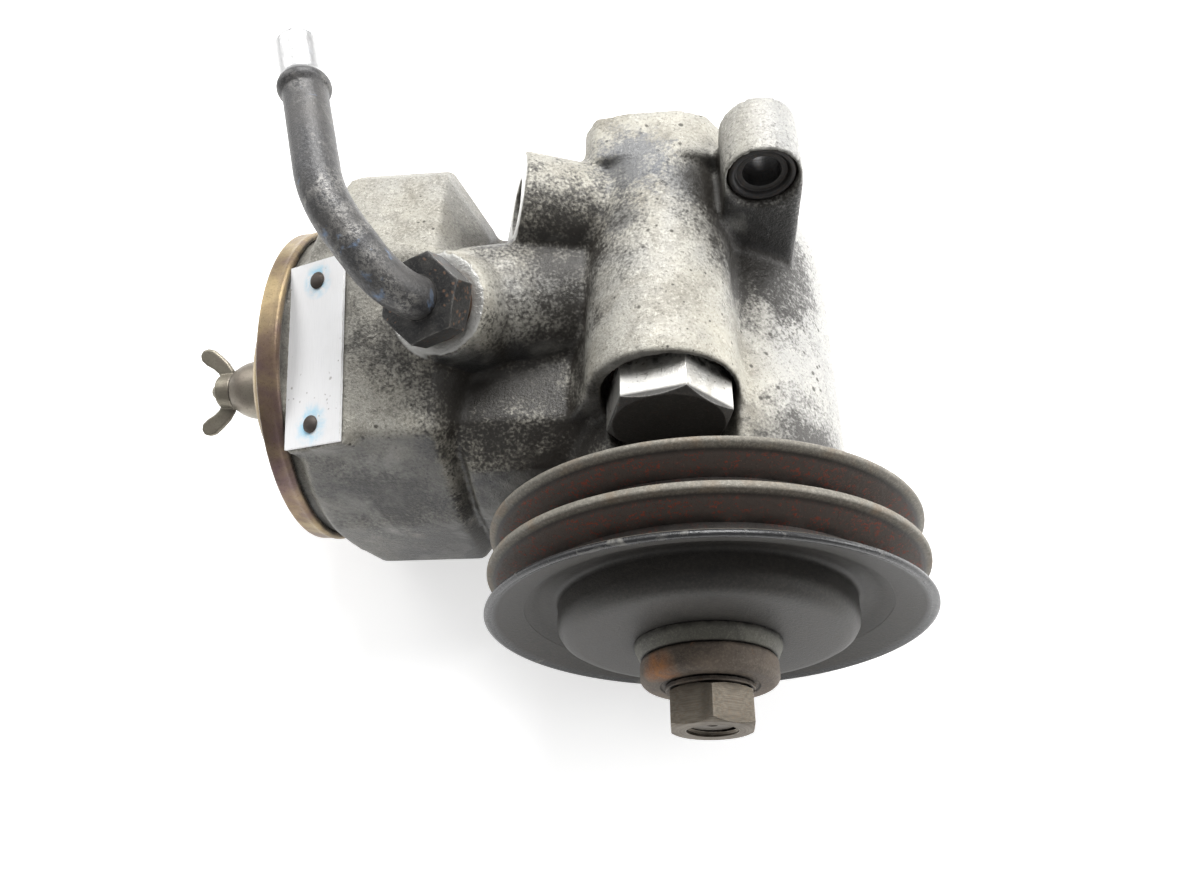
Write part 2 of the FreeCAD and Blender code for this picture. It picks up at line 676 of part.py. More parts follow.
def housing_bores():
    """Every machined space in the casting."""
    cuts = [rod(bearing_r, nose_front_y - 1, bearing_rear_y),
            tube(bearing_r - 1, bearing_r + circlip_depth, bearing_front_y - seated - circlip_width - 0.05,
                 bearing_front_y - seated + 0.05),
            rod(seal_housing_r, bearing_rear_y - 1, seal_rear_y),
            rod(front_passage_r, seal_rear_y - 1, cartridge_front_y + 1),
            rod(cartridge_r, cartridge_front_y, body_rear_y + 1)]
    middle = retaining_ring_y + retaining_ring_wire
    cuts.append(Part.makeTorus(cartridge_r, retaining_ring_wire + seated, V(0, middle, 0), SHAFT))
    cuts.append(rod(plug_thread_r, plug_seat_y - 1, plug_end_y + 1.5, VALVE))
    cuts.append(rod(plug_across_flats / math.sqrt(3) + pocket_gap, body_front_y - 1, plug_seat_y, VALVE))
    cuts.append(rod(valve_bore_r, plug_end_y, valve_bore_end_y, VALVE))
    cuts.append(rod(port_thread_r, -port_thread_depth, 1, port_face, port_axis))
    cuts.append(rod(port_passage_r, -40.0, 0, port_face, port_axis))
    cuts.append(rod(union_thread_r, -union_thread_length - 2, 1, union_seat, union_axis))
    bottom = union_seat - union_axis * (union_thread_length + 2)
    cuts.append(rod(return_passage_r, -2.0, 24.0, bottom, V(-0.8, 0.2, -0.57)))
    cuts.append(rod(union_seat_r - 0.8, 0, 12, union_seat, union_axis))
    cuts.append(rod(suction_r, 20, -reservoir_end_x, V(0, suction_y, -suction_r * 2), TO_LID))
    cuts.append(rod(stud_r, -stud_root_x, -reservoir_end_x, LID_CENTRE, TO_LID))
    cuts.append(rod(ear_bore_r, ear_front_y - 1, ear_front_y + ear_length + 1, V(ear_x, 0, ear_z)))
    for place in bracket_places():
        cuts.append(rod(bracket_hole_r, body_rear_y - bracket_hole_depth, body_rear_y + 1, place))
    for place in rivet_places():
        cuts.append(rod(rivet_shank_r + seated, -6.0, 3.0, place, plate_normal()))
    return cuts


def pump_housing():
    """One casting holds the pump body, the valve housing and the reservoir."""
    solid = joined([pump_outside(), reservoir_outside(), union_boss(), port_boss(), ear()])
    solid = solid.cut(reservoir_inside())
    for space in housing_bores():
        solid = solid.cut(space)
    save("pump_housing", solid.removeSplitter())


# ---- rating plate -----------------------------------------------------------------------------------------------
def plate_normal():
    """The direction that the rating plate faces."""
    normal = plate_along.cross(plate_across).normalize()
    return normal if normal.z > 0 else normal * -1


def rivet_places():
    """The rivet points on the plate's middle line."""
    half = plate_along * (rivet_spacing / 2)
    return [plate_centre + half, plate_centre - half]


def plate_parts():
    """The blank rating plate and its two rivets."""
    blank = Part.makeBox(plate_width, plate_length, plate_thickness,
                         V(-plate_width / 2, -plate_length / 2, -plate_thickness / 2 + seated))
    blank.Placement = FreeCAD.Placement(plate_centre, plate_frame())
    rivets = []
    for place in rivet_places():
        blank = blank.cut(rod(rivet_shank_r + seated, -3, 3, place, plate_normal()))
        top = plate_thickness / 2 + 2 * seated
        rivets.append(turned([(0, -5.5), (rivet_shank_r, -5.5), (rivet_shank_r, top), (rivet_head_r, top),
                              (rivet_head_r * 0.8, top + 0.9), (rivet_head_r * 0.4, top + 1.3), (0, top + 1.4)],
                             place, plate_normal()))
    save("rating_plate", blank)
    save("rating_plate_rivets", Part.makeCompound(rivets))


# ---- lid, wing nut, stud and filter --------------------------------------------------------------------------------
lid_face = -reservoir_mouth_x + gasket_thickness + 2 * seated
dome_face = lid_face + lid_dome_height
collar_base = dome_face + lid_sheet + seated


def lid_parts():
    """The pressed lid with its rolled rim, the gasket, the domed collar and the wing nut."""
    skirt_in = reservoir_r + free
    back = lid_face + lid_sheet - lid_skirt
    lid = [(stud_r + free, dome_face), (lid_dome_r - 6, dome_face), (lid_dome_r, dome_face - 4), (lid_dome_r + 4, lid_face),
           (skirt_in, lid_face), (skirt_in, back), (lid_r, back), (lid_r + 0.5, back + 1.2), (lid_r, back + 2.4),
           (lid_r, lid_face), (lid_r - 1.3, lid_face + lid_sheet), (lid_dome_r + 4.6, lid_face + lid_sheet),
           (lid_dome_r + 0.8, dome_face - 3.2), (lid_dome_r - 5.4, dome_face + lid_sheet),
           (stud_r + free, dome_face + lid_sheet)]
    save("reservoir_lid", turned(lid, LID_CENTRE, TO_LID))
    gasket = tube(reservoir_mouth_r + 0.5, reservoir_r - 0.2, lid_face - gasket_thickness, lid_face - seated,
                  LID_CENTRE, TO_LID)
    save("lid_gasket", gasket)
    tip = -lid_collar_tip_x
    save("lid_collar", turned([(stud_r + free, collar_base), (lid_collar_r, collar_base), (lid_collar_r, tip - 6),
                               (lid_collar_r - 1.5, tip - 3), (wing_hub_r + 0.5, tip), (stud_r + free, tip)],
                              LID_CENTRE, TO_LID))
    save("wing_nut", wing_nut(tip + seated))


def wing_nut(start):
    """A hub with two ears that lean outward."""
    end = start + wing_hub_length
    hub = turned([(stud_r + running, start), (wing_hub_r, start), (wing_hub_r - 0.8, end), (stud_r + running, end)],
                 LID_CENTRE, TO_LID)
    half = wing_span / 2
    wings = []
    for side in (-1, 1):
        corners = [V(stud_r + 1.2, 0, start + 0.8), V(wing_hub_r + 1, 0, start + 0.8), V(half - 3.0, 0, start + 5.5),
                   V(half, 0, start + 9.5), V(half - 0.8, 0, start + 12.0), V(half - 4.5, 0, start + 12.6),
                   V(wing_hub_r + 1.2, 0, start + 7.5), V(stud_r + 1.2, 0, end - 0.4)]
        wing = Part.Face(Part.makePolygon(corners + corners[:1])).extrude(V(0, 2.4, 0))
        wing.translate(V(0, -1.2, 0))
        wings.append(placed(wing, LID_CENTRE, TO_LID, 90 - 90 * side + wing_turn))
    return joined([hub] + wings)


def filter_parts():
    """The long stud, the ring filter, its cap, its spring and the spring's retainer."""
    root = -stud_root_x
    stud = turned([(0, root + 0.5), (stud_r - seated, root + 0.5), (stud_r - seated, -stud_end_x - 3.5),
                   (stud_tip_r, -stud_end_x - 3.0), (stud_tip_r, -stud_end_x), (0, -stud_end_x)], LID_CENTRE, TO_LID)
    save("lid_stud", stud)
    start = -filter_start_x
    end = start + filter_length
    save("filter_element", tube(filter_inner_r, filter_r, start, end, LID_CENTRE, TO_LID))
    cap = end + seated
    save("filter_cap", tube(stud_r + 0.1, filter_r - 1, cap, cap + filter_cap_sheet, LID_CENTRE, TO_LID))
    low = cap + filter_cap_sheet + seated
    high = low + filter_spring_length
    save("filter_spring", coil(filter_spring_wire, filter_spring_r, filter_spring_turns, low, high,
                               LID_CENTRE, TO_LID))
    save("filter_spring_retainer", tube(stud_r + seated, retainer_r, high + seated, high + 1.4, LID_CENTRE, TO_LID))


# ---- return union and pipe ---------------------------------------------------------------------------------------------
def pipe_route(points, radii):
    """Straight runs joined by tangent arcs."""
    edges = []
    last = points[0]
    for before, corner, after, radius in zip(points, points[1:], points[2:], radii):
        back = (before - corner).normalize()
        ahead = (after - corner).normalize()
        half = math.acos(max(-1.0, min(1.0, back.dot(ahead)))) / 2
        reach = radius / math.tan(half)
        start = corner + back * reach
        end = corner + ahead * reach
        bisector = (back + ahead).normalize()
        middle = corner + bisector * (radius / math.sin(half) - radius)
        edges.append(Part.LineSegment(last, start).toShape())
        edges.append(Part.Arc(start, middle, end).toShape())
        last = end
    edges.append(Part.LineSegment(last, points[-1]).toShape())
    return Part.Wire(edges)


def swept(radius, route, start, direction):
    """A round bar along a route."""
    return route.makePipeShell([circle_at(start, direction, radius)], True, False)


def return_parts():
    """The union nut, its washer and the bent pipe with a hose bead."""
    washer_top = union_washer_thickness + seated
    save("union_washer", tube(union_thread_r + seated, union_washer_r, seated, washer_top - seated,
                              union_seat, union_axis))
    head = hexagon(union_across_flats, washer_top, washer_top + union_hex_height, union_seat, union_axis, 12.0, 1.0)
    stem = rod(union_thread_r - seated, -union_thread_length, washer_top + 1, union_seat, union_axis)
    bore = rod(pipe_r + seated, -union_thread_length - 1, washer_top + union_hex_height + 1, union_seat, union_axis)
    save("return_union_nut", joined([head, stem]).cut(bore))
    start = union_seat - union_axis * (union_thread_length - 2.0)
    route = pipe_route([start, union_seat + union_axis * pipe_rise, pipe_corner, pipe_end], pipe_bend_radii)
    bar = swept(pipe_r, route, start, union_axis)
    bead_axis = (pipe_end - pipe_corner).normalize()
    bead_r = pipe_bead_r - pipe_r + 1.4
    bead = Part.makeTorus(pipe_bead_r - bead_r, bead_r, pipe_end - bead_axis * pipe_bead_from_end, bead_axis)
    save("return_pipe", joined([bar, bead]).cut(swept(pipe_r - pipe_wall, route, start, union_axis)))


# ---- mounting bush ---------------------------------------------------------------------------------------------------
def ear_bush():
    """The steel bush pressed into the ear, with a stepped face."""
    front = ear_front_y + bush_recess
    rear = ear_front_y + ear_length
    profile = [(bush_bolt_r, front + bush_step_depth), (bush_step_r, front + bush_step_depth), (bush_step_r, front),
               (ear_bore_r - seated, front), (ear_bore_r - seated, rear), (bush_bolt_r, rear)]
    save("ear_bush", turned(profile, V(ear_x, 0, ear_z)))


def main():
    os.makedirs("parts", exist_ok=True)
    pump_housing()
    plate_parts()
    ear_bush()
    pulley_parts()
    nut_front_y = pulley_clamp()
    shaft_parts(nut_front_y)
    bearing_parts()
    shaft_seal()
    cartridge_parts()
    valve_parts()
    lid_parts()
    filter_parts()
    return_parts()


main()
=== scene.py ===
import json
import math

import bmesh
import bpy
from mathutils import Matrix, Vector


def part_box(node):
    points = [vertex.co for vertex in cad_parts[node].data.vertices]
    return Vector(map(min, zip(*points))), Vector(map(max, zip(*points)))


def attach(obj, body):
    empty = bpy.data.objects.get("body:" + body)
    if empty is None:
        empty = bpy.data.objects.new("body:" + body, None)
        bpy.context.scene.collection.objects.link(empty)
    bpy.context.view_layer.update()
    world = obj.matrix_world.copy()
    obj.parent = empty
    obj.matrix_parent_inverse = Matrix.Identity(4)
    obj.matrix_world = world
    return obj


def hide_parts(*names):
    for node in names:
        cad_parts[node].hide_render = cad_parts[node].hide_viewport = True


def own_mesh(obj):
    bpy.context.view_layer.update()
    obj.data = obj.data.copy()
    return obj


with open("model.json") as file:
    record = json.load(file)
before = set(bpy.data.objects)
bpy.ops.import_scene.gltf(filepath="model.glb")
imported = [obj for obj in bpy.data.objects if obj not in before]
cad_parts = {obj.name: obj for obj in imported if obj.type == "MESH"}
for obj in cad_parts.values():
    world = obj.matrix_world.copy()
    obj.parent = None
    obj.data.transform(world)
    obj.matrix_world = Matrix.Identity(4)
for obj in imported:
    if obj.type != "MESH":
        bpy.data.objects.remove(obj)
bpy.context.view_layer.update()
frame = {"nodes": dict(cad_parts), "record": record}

MM = 0.001
SHAFT = Vector((0, 1, 0))
TO_LID = Vector((-1, 0, 0))
ORIGIN = Vector((0, 0, 0))

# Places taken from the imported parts, in millimetres
lid_low, lid_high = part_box("reservoir_lid")
LID_CENTRE = Vector((0, (lid_low.y + lid_high.y) / 2, (lid_low.z + lid_high.z) / 2)) / MM
plug_low, plug_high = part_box("valve_plug")
VALVE_CENTRE = Vector(((plug_low.x + plug_high.x) / 2, 0, (plug_low.z + plug_high.z) / 2)) / MM
bush_low, bush_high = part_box("ear_bush")
EAR_CENTRE = Vector(((bush_low.x + bush_high.x) / 2, 0, (bush_low.z + bush_high.z) / 2)) / MM

# Places of the casting's faces, the pipe and the plate, in millimetres
UNION_SEAT = Vector((-70.0, 61.0, 57.0))
UNION_AXIS = Vector((-0.32, -0.44, 0.83)).normalized()
PORT_FACE = Vector((-51.0, 98.5, 54.0))
PORT_AXIS = Vector((-0.94, 0.0, 0.34)).normalized()
PIPE_CORNER = Vector((-93.0, 70.0, 89.0))
PIPE_END = Vector((-105.3, 121.0, 97.0))
PIPE_AXIS = (PIPE_END - PIPE_CORNER).normalized()
PLATE_CENTRE = Vector((-108.2, 55.4, 45.5))
PLATE_ALONG = Vector((0.007, 0.945, 0.327)).normalized()
PLATE_ACROSS = Vector((-0.917, 0.115, -0.382)).normalized()
PLATE_NORMAL = PLATE_ALONG.cross(PLATE_ACROSS).normalized()
if PLATE_NORMAL.z < 0:
    PLATE_NORMAL.negate()
RIVET_REACH = 21.3
WING_TURN = 62

FLAT_WITHIN = 0.6
CASTING_VOXEL = 0.00115
CASTING_FACES = 190000
STEEL_GRAIN = 1400.0
# Near-black colour for oil stains and for the painted shade laid with them.
OIL_AND_SHADE_BLACK = (0.026, 0.023, 0.019)


# ---- shaping -------------------------------------------------------------------
def pick(piece):
    """Leave one piece selected and active."""
    for item in list(bpy.context.selected_objects):
        item.select_set(False)
    piece.select_set(True)
    bpy.context.view_layer.objects.active = piece


def edit(piece):
    """Open a piece in edit mode with nothing selected."""
    pick(piece)
    bpy.ops.object.mode_set(mode="EDIT")
    bpy.ops.mesh.select_all(action="DESELECT")


def done(piece):
    """Close edit mode and freeze the piece's place into its mesh."""
    if bpy.context.mode != "OBJECT":
        bpy.ops.object.mode_set(mode="OBJECT")
    pick(piece)
    bpy.ops.object.transform_apply(location=True, rotation=True, scale=True)


def outward(piece, merge=0.00001):
    """Merge doubles and turn every face outwards."""
    edit(piece)
    bpy.ops.mesh.select_all(action="SELECT")
    bpy.ops.mesh.remove_doubles(threshold=merge)
    bpy.ops.mesh.normals_make_consistent(inside=False)
    bpy.ops.object.mode_set(mode="OBJECT")


def smooth(piece, angle=32):
    """Smooth shading that keeps the real edges."""
    pick(piece)
    bpy.ops.object.shade_smooth_by_angle(angle=math.radians(angle))


def modified(piece, kind, **settings):
    """Add a modifier, set it and apply it."""
    pick(piece)
    step = piece.modifiers.new(kind.title(), kind)
    for key, value in settings.items():
        setattr(step, key, value)
    bpy.ops.object.modifier_apply(modifier=step.name)


def stood(piece, centre, direction, turn=0.0):
    """Stand a piece made about +Z on an axis through a centre (mm)."""
    lean = Vector((0, 0, 1)).rotation_difference(direction).to_matrix()
    spin = Matrix.Rotation(turn, 3, "Z")
    piece.rotation_euler = (lean @ spin).to_euler()
    piece.location = centre * MM
    done(piece)
    return piece


def stood_bar(name, centre, size):
    """A thin bar along the row's axes, as the start of a casting's parting ridge."""
    bpy.ops.mesh.primitive_cube_add(size=1.0, location=centre * MM, scale=Vector(size) * MM)
    bar = bpy.context.object
    bar.name = name
    done(bar)
    return bar


def corner_arc(before, corner, after, size):
    """The points of a rounded corner."""
    back = before - corner
    ahead = after - corner
    start = corner + back.normalized() * min(size, back.length * 0.48)
    end = corner + ahead.normalized() * min(size, ahead.length * 0.48)
    points = []
    for step in range(5):
        t = step / 4
        points.append(start * (1 - t) ** 2 + corner * 2 * t * (1 - t) + end * t ** 2)
    return points


def outline_points(outline):
    """Outline corners of (radius, distance[, rounding]) as points in the XZ plane, in metres."""
    corners = [Vector((c[0], 0, c[1])) * MM for c in outline]
    points = []
    for index, corner in enumerate(outline):
        here = corners[index]
        if len(corner) == 3 and corner[2] > 0:
            after = corners[(index + 1) % len(corners)]
            points += corner_arc(corners[index - 1], here, after, corner[2] * MM)
        else:
            points.append(here)
    return points


def drawn(name, points):
    """A wire piece: one vertex extruded from point to point and closed."""
    bpy.ops.mesh.primitive_plane_add(size=0.001, location=(0, 0, 0))
    piece = bpy.context.object
    piece.name = name
    piece.data.name = name
    bpy.ops.object.mode_set(mode="EDIT")
    bpy.ops.mesh.select_all(action="SELECT")
    bpy.ops.mesh.merge(type="CENTER")
    bpy.ops.transform.translate(value=points[0])
    last = points[0]
    for point in points[1:] + points[:1]:
        bpy.ops.mesh.extrude_region_move(TRANSFORM_OT_translate={"value": point - last})
        last = point
    bpy.ops.mesh.select_all(action="SELECT")
    bpy.ops.mesh.remove_doubles(threshold=0.000001)
    return piece


def lathe(name, outline, centre=ORIGIN, direction=SHAFT, steps=144):
    """Spin a closed outline of (radius, distance[, rounding]) about an axis."""
    piece = drawn(name, outline_points(outline))
    bpy.ops.mesh.select_all(action="SELECT")
    bpy.ops.mesh.spin(steps=steps, angle=2 * math.pi, center=(0, 0, 0), axis=(0, 0, 1))
    bpy.ops.object.mode_set(mode="OBJECT")
    outward(piece, 0.000004)
    stood(piece, centre, direction)
    smooth(piece)
    return piece


def slab(name, points, thickness, centre, direction, turn=0.0):
    """A flat outline of (x, y) corners, filled and extruded to both sides of its plane, in mm."""
    piece = drawn(name, [Vector((x, 0, y)) * MM for x, y in points])
    bpy.ops.mesh.select_all(action="SELECT")
    bpy.ops.mesh.edge_face_add()
    bpy.ops.transform.translate(value=(0, -thickness * MM / 2, 0))
    bpy.ops.mesh.extrude_region_move(TRANSFORM_OT_translate={"value": (0, thickness * MM, 0)})
    bpy.ops.object.mode_set(mode="OBJECT")
    outward(piece)
    stood(piece, centre, direction, turn)
    return piece


def thread_ridge(name, root, crest, pitch, start, end, centre, direction):
    """A helical thread ridge, wound by a screw from a small triangle."""
    half = pitch * 0.42
    points = [Vector((root, 0, start + half)), Vector((crest, 0, start)), Vector((root, 0, start - half))]
    piece = drawn(name, [p * MM for p in points])
    bpy.ops.object.mode_set(mode="OBJECT")
    turns = max(1, int((end - start) / pitch))
    modified(piece, "SCREW", axis="Z", angle=2 * math.pi, screw_offset=pitch * MM, iterations=turns,
             steps=40, render_steps=40, use_merge_vertices=False)
    outward(piece)
    stood(piece, centre, direction)
    smooth(piece, 40)
    return piece


def copied(node, name):
    """A merged copy of a CAD node, ready to be worked on."""
    mesh = frame["nodes"][node].data.copy()
    mesh.name = name
    piece = bpy.data.objects.new(name, mesh)
    bpy.context.scene.collection.objects.link(piece)
    pick(piece)
    bpy.ops.mesh.customdata_custom_splitnormals_clear()
    edit(piece)
    bpy.ops.mesh.select_all(action="SELECT")
    bpy.ops.mesh.remove_doubles(threshold=0.000002)
    bpy.ops.object.mode_set(mode="OBJECT")
    return piece


def eased(node, name, width=0.25, segments=3):
    """A copy of a CAD node with its flat faces made whole and its edges rounded."""
    piece = copied(node, name)
    edit(piece)
    bpy.ops.mesh.select_all(action="SELECT")
    bpy.ops.mesh.dissolve_limited(angle_limit=math.radians(FLAT_WITHIN))
    bpy.ops.object.mode_set(mode="OBJECT")
    modified(piece, "BEVEL", width=width * MM, segments=segments, limit_method="ANGLE",
             angle_limit=math.radians(28), use_clamp_overlap=True, harden_normals=False)
    smooth(piece)
    modified(piece, "WEIGHTED_NORMAL", keep_sharp=True, weight=100)
    return piece


def merged(pieces, name):
    """Join pieces into the first one."""
    pick(pieces[0])
    for piece in pieces[1:]:
        piece.select_set(True)
    bpy.ops.object.join()
    pieces[0].name = name
    return pieces[0]


def stands_for(piece, body, slot, *nodes):
    """Hang a piece on its body, in place of its CAD nodes, with its slot's finish."""
    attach(piece, body)
    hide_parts(*nodes)
    piece.data.materials.clear()
    piece.data.materials.append(FINISH[slot])


# ---- shader parts -----------------------------------------------------------------
def put(tree, kind, inputs=None, **settings):
    """Place a shader node, set its options, and fill or link its inputs."""
    made = tree.nodes.new("ShaderNode" + kind)
    for key, value in settings.items():
        setattr(made, key, value)
    for key, value in (inputs or {}).items():
        if isinstance(value, bpy.types.NodeSocket):
            tree.links.new(value, made.inputs[key])
        else:
            made.inputs[key].default_value = value
    return made


def new_group(name, inputs, outputs):
    """A shader group with named float, vector or colour sockets."""
    group = bpy.data.node_groups.new(name, "ShaderNodeTree")
    for label, kind, value in inputs:
        socket = group.interface.new_socket(name=label, in_out="INPUT", socket_type="NodeSocket" + kind)
        socket.default_value = value
    for label, kind in outputs:
        group.interface.new_socket(name=label, in_out="OUTPUT", socket_type="NodeSocket" + kind)
    way_in = group.nodes.new("NodeGroupInput")
    way_out = group.nodes.new("NodeGroupOutput")
    return group, way_in.outputs, way_out.inputs


def join(group, source, target):
    group.links.new(source, target)


def math_of(tree, operation, first, second=0.5, clamp=False):
    return put(tree, "Math", {0: first, 1: second}, operation=operation, use_clamp=clamp).outputs[0]


def place_of(tree):
    return put(tree, "TexCoord").outputs["Object"]


def facing_of(tree):
    return put(tree, "TexCoord").outputs["Normal"]


def vectors(tree, operation, first, second, output=0):
    return put(tree, "VectorMath", {0: first, 1: second}, operation=operation).outputs[output]


def noise_of(tree, place, scale, detail=2.0, **more):
    values = {"Vector": place, "Scale": scale, "Detail": detail, **more}
    return put(tree, "TexNoise", values).outputs["Fac"]


def ranged(tree, value, low, high, to_low=0.0, to_high=1.0):
    return put(tree, "MapRange", {"Value": value, "From Min": low, "From Max": high,
                                  "To Min": to_low, "To Max": to_high}, clamp=True).outputs["Result"]


def grain_group():
    """Fine surface grain: a coarse and a fine noise, as a value and a height."""
    group, given, out = new_group("Grain", [("Scale", "Float", 900.0), ("Detail", "Float", 4.0),
                                            ("Low", "Float", 0.35), ("High", "Float", 0.65)],
                                  [("Value", "Float"), ("Height", "Float")])
    place = place_of(group)
    coarse = noise_of(group, place, given["Scale"], given["Detail"], Roughness=0.6)
    finer = math_of(group, "MULTIPLY", given["Scale"], 3.1)
    fine = noise_of(group, place, finer, 2.0)
    both = put(group, "Mix", {"Factor": 0.35, "A": coarse, "B": fine}, data_type="FLOAT").outputs["Result"]
    join(group, both, out["Height"])
    join(group, ranged(group, both, given["Low"], given["High"]), out["Value"])
    return group


def blotch_group():
    """Broad uneven patches, such as stains and oxide, as a mask."""
    group, given, out = new_group("Blotches", [("Scale", "Float", 40.0), ("Cover", "Float", 0.5),
                                               ("Softness", "Float", 0.12), ("Swirl", "Float", 0.6),
                                               ("Shift", "Float", 0.0)],
                                  [("Mask", "Float")])
    place = place_of(group)
    moved = vectors(group, "ADD", place, given["Shift"])
    noise = noise_of(group, moved, given["Scale"], 7.0, Roughness=0.62, Distortion=given["Swirl"])
    middle = math_of(group, "SUBTRACT", 1.0, given["Cover"])
    spread = ranged(group, middle, 0.0, 1.0, 0.25, 0.75)
    low = math_of(group, "SUBTRACT", spread, given["Softness"])
    high = math_of(group, "ADD", spread, given["Softness"])
    join(group, ranged(group, noise, low, high), out["Mask"])
    return group


def speck_group():
    """Small separate specks, as a mask."""
    group, given, out = new_group("Specks", [("Scale", "Float", 500.0), ("Size", "Float", 0.25)],
                                  [("Mask", "Float")])
    place = place_of(group)
    warp = put(group, "TexNoise", {"Vector": place, "Scale": given["Scale"],
                                   "Detail": 2.0}).outputs["Color"]
    mixed = vectors(group, "MULTIPLY", warp, (0.0015, 0.0015, 0.0015))
    bent = vectors(group, "ADD", place, mixed)
    cells = put(group, "TexVoronoi", {"Vector": bent, "Scale": given["Scale"],
                                      "Randomness": 1.0}).outputs["Distance"]
    broad = noise_of(group, place, math_of(group, "MULTIPLY", given["Scale"], 0.12), 3.0)
    size = math_of(group, "MULTIPLY", given["Size"], ranged(group, broad, 0.35, 0.65, 0.2, 1.6))
    edge = math_of(group, "MULTIPLY", size, 0.6)
    mask = ranged(group, cells, edge, size, 1.0, 0.0)
    join(group, mask, out["Mask"])
    return group


def edge_wear_group():
    """Where corners are rubbed: the surface compared with its rounded self, broken up by noise."""
    group, given, out = new_group("Edge wear", [("Width", "Float", 0.0008), ("Amount", "Float", 1.0),
                                                ("Break up", "Float", 350.0)],
                                  [("Mask", "Float")])
    rounded = put(group, "Bevel", {"Radius": given["Width"]}, samples=6).outputs["Normal"]
    flat = put(group, "NewGeometry").outputs["Normal"]
    same = vectors(group, "DOT_PRODUCT", rounded, flat, "Value")
    edge = ranged(group, same, 0.995, 0.90)
    place = place_of(group)
    noise = noise_of(group, place, given["Break up"], 5.0)
    worn = math_of(group, "MULTIPLY", edge, ranged(group, noise, 0.38, 0.56))
    join(group, math_of(group, "MULTIPLY", worn, given["Amount"], True), out["Mask"])
    return group


def grime_and_shade_group():
    """Dirt and oil that gather in corners and hollows, and painted shade there, from ambient occlusion, as
    a mask.
    """
    group, given, out = new_group("Grime and shade", [("Reach", "Float", 0.012), ("Amount", "Float", 1.0),
                                            ("Break up", "Float", 120.0)],
                                  [("Mask", "Float")])
    # Ambient occlusion: darker where less of the surroundings is seen, which is painted shade as well as
    # dirt.
    open_sky = put(group, "AmbientOcclusion", {"Distance": given["Reach"]}, samples=8).outputs["AO"]
    shut = ranged(group, open_sky, 0.92, 0.35)
    place = place_of(group)
    noise = noise_of(group, place, given["Break up"], 6.0, Distortion=0.8)
    patchy = math_of(group, "MULTIPLY", shut, ranged(group, noise, 0.3, 0.6, 0.35, 1.25))
    join(group, math_of(group, "MULTIPLY", patchy, given["Amount"], True), out["Mask"])
    return group


def stain_group():
    """An oil stain round a point, with a torn sandy edge, as a mask."""
    group, given, out = new_group("Oil stain", [("Centre", "Vector", (0, 0, 0)), ("Reach", "Float", 0.012),
                                                ("Break up", "Float", 130.0)],
                                  [("Mask", "Float")])
    place = place_of(group)
    away = vectors(group, "DISTANCE", place, given["Centre"], "Value")
    noise = noise_of(group, place, given["Break up"], 8.0, Roughness=0.72)
    sandy = noise_of(group, place, 1100.0, 4.0)
    torn = math_of(group, "ADD", math_of(group, "DIVIDE", away, given["Reach"]),
                   math_of(group, "ADD", ranged(group, noise, 0.25, 0.75, -0.5, 0.5),
                           ranged(group, sandy, 0.3, 0.7, -0.32, 0.32)))
    join(group, ranged(group, torn, 1.12, 0.5), out["Mask"])
    return group


def face_group():
    """A machined face: inside a radius of its centre and square to its axis."""
    group, given, out = new_group("Machined face", [("Centre", "Vector", (0, 0, 0)),
                                                    ("Axis", "Vector", (0, 0, 1)),
                                                    ("Radius", "Float", 0.015), ("Depth", "Float", 0.0015)],
                                  [("Mask", "Float")])
    coordinates = put(group, "TexCoord")
    offset = vectors(group, "SUBTRACT", coordinates.outputs["Object"], given["Centre"])
    along = vectors(group, "DOT_PRODUCT", offset, given["Axis"], "Value")
    reach = put(group, "VectorMath", {0: offset}, operation="LENGTH").outputs["Value"]
    facing = vectors(group, "DOT_PRODUCT", coordinates.outputs["Normal"], given["Axis"], "Value")
    near = ranged(group, math_of(group, "SUBTRACT", reach, given["Radius"]), 0.0, 0.0006, 1.0, 0.0)
    level = ranged(group, math_of(group, "SUBTRACT", math_of(group, "ABSOLUTE", along), given["Depth"]),
                   0.0, 0.0005, 1.0, 0.0)
    square = ranged(group, facing, 0.88, 0.96)
    join(group, math_of(group, "MULTIPLY", math_of(group, "MULTIPLY", near, level), square), out["Mask"])
    return group


def rings_group():
    """Fine concentric tool marks about an axis, as a value."""
    group, given, out = new_group("Tool rings", [("Centre", "Vector", (0, 0, 0)),
                                                 ("Axis", "Vector", (0, 1, 0)), ("Scale", "Float", 2500.0)],
                                  [("Value", "Float"), ("Radius", "Float")])
    place = place_of(group)
    offset = vectors(group, "SUBTRACT", place, given["Centre"])
    along = vectors(group, "DOT_PRODUCT", offset, given["Axis"], "Value")
    whole = put(group, "VectorMath", {0: offset}, operation="LENGTH").outputs["Value"]
    radius = math_of(group, "SQRT", math_of(group, "MAXIMUM", math_of(group, "SUBTRACT",
                                                                      math_of(group, "MULTIPLY", whole,
                                                                              whole),
                                                                      math_of(group, "MULTIPLY", along,
                                                                              along)), 0.0))
    both = put(group, "CombineXYZ", {"X": radius, "Y": math_of(group, "MULTIPLY", along, 1.0)}).outputs[0]
    noise = noise_of(group, both, given["Scale"], 2.0)
    join(group, noise, out["Value"])
    join(group, radius, out["Radius"])
    return group


GROUPS = {"grain": grain_group(), "blotch": blotch_group(), "speck": speck_group(),
          "wear": edge_wear_group(), "grime_and_shade": grime_and_shade_group(), "face": face_group(), "rings": rings_group(),
          "stain": stain_group()}


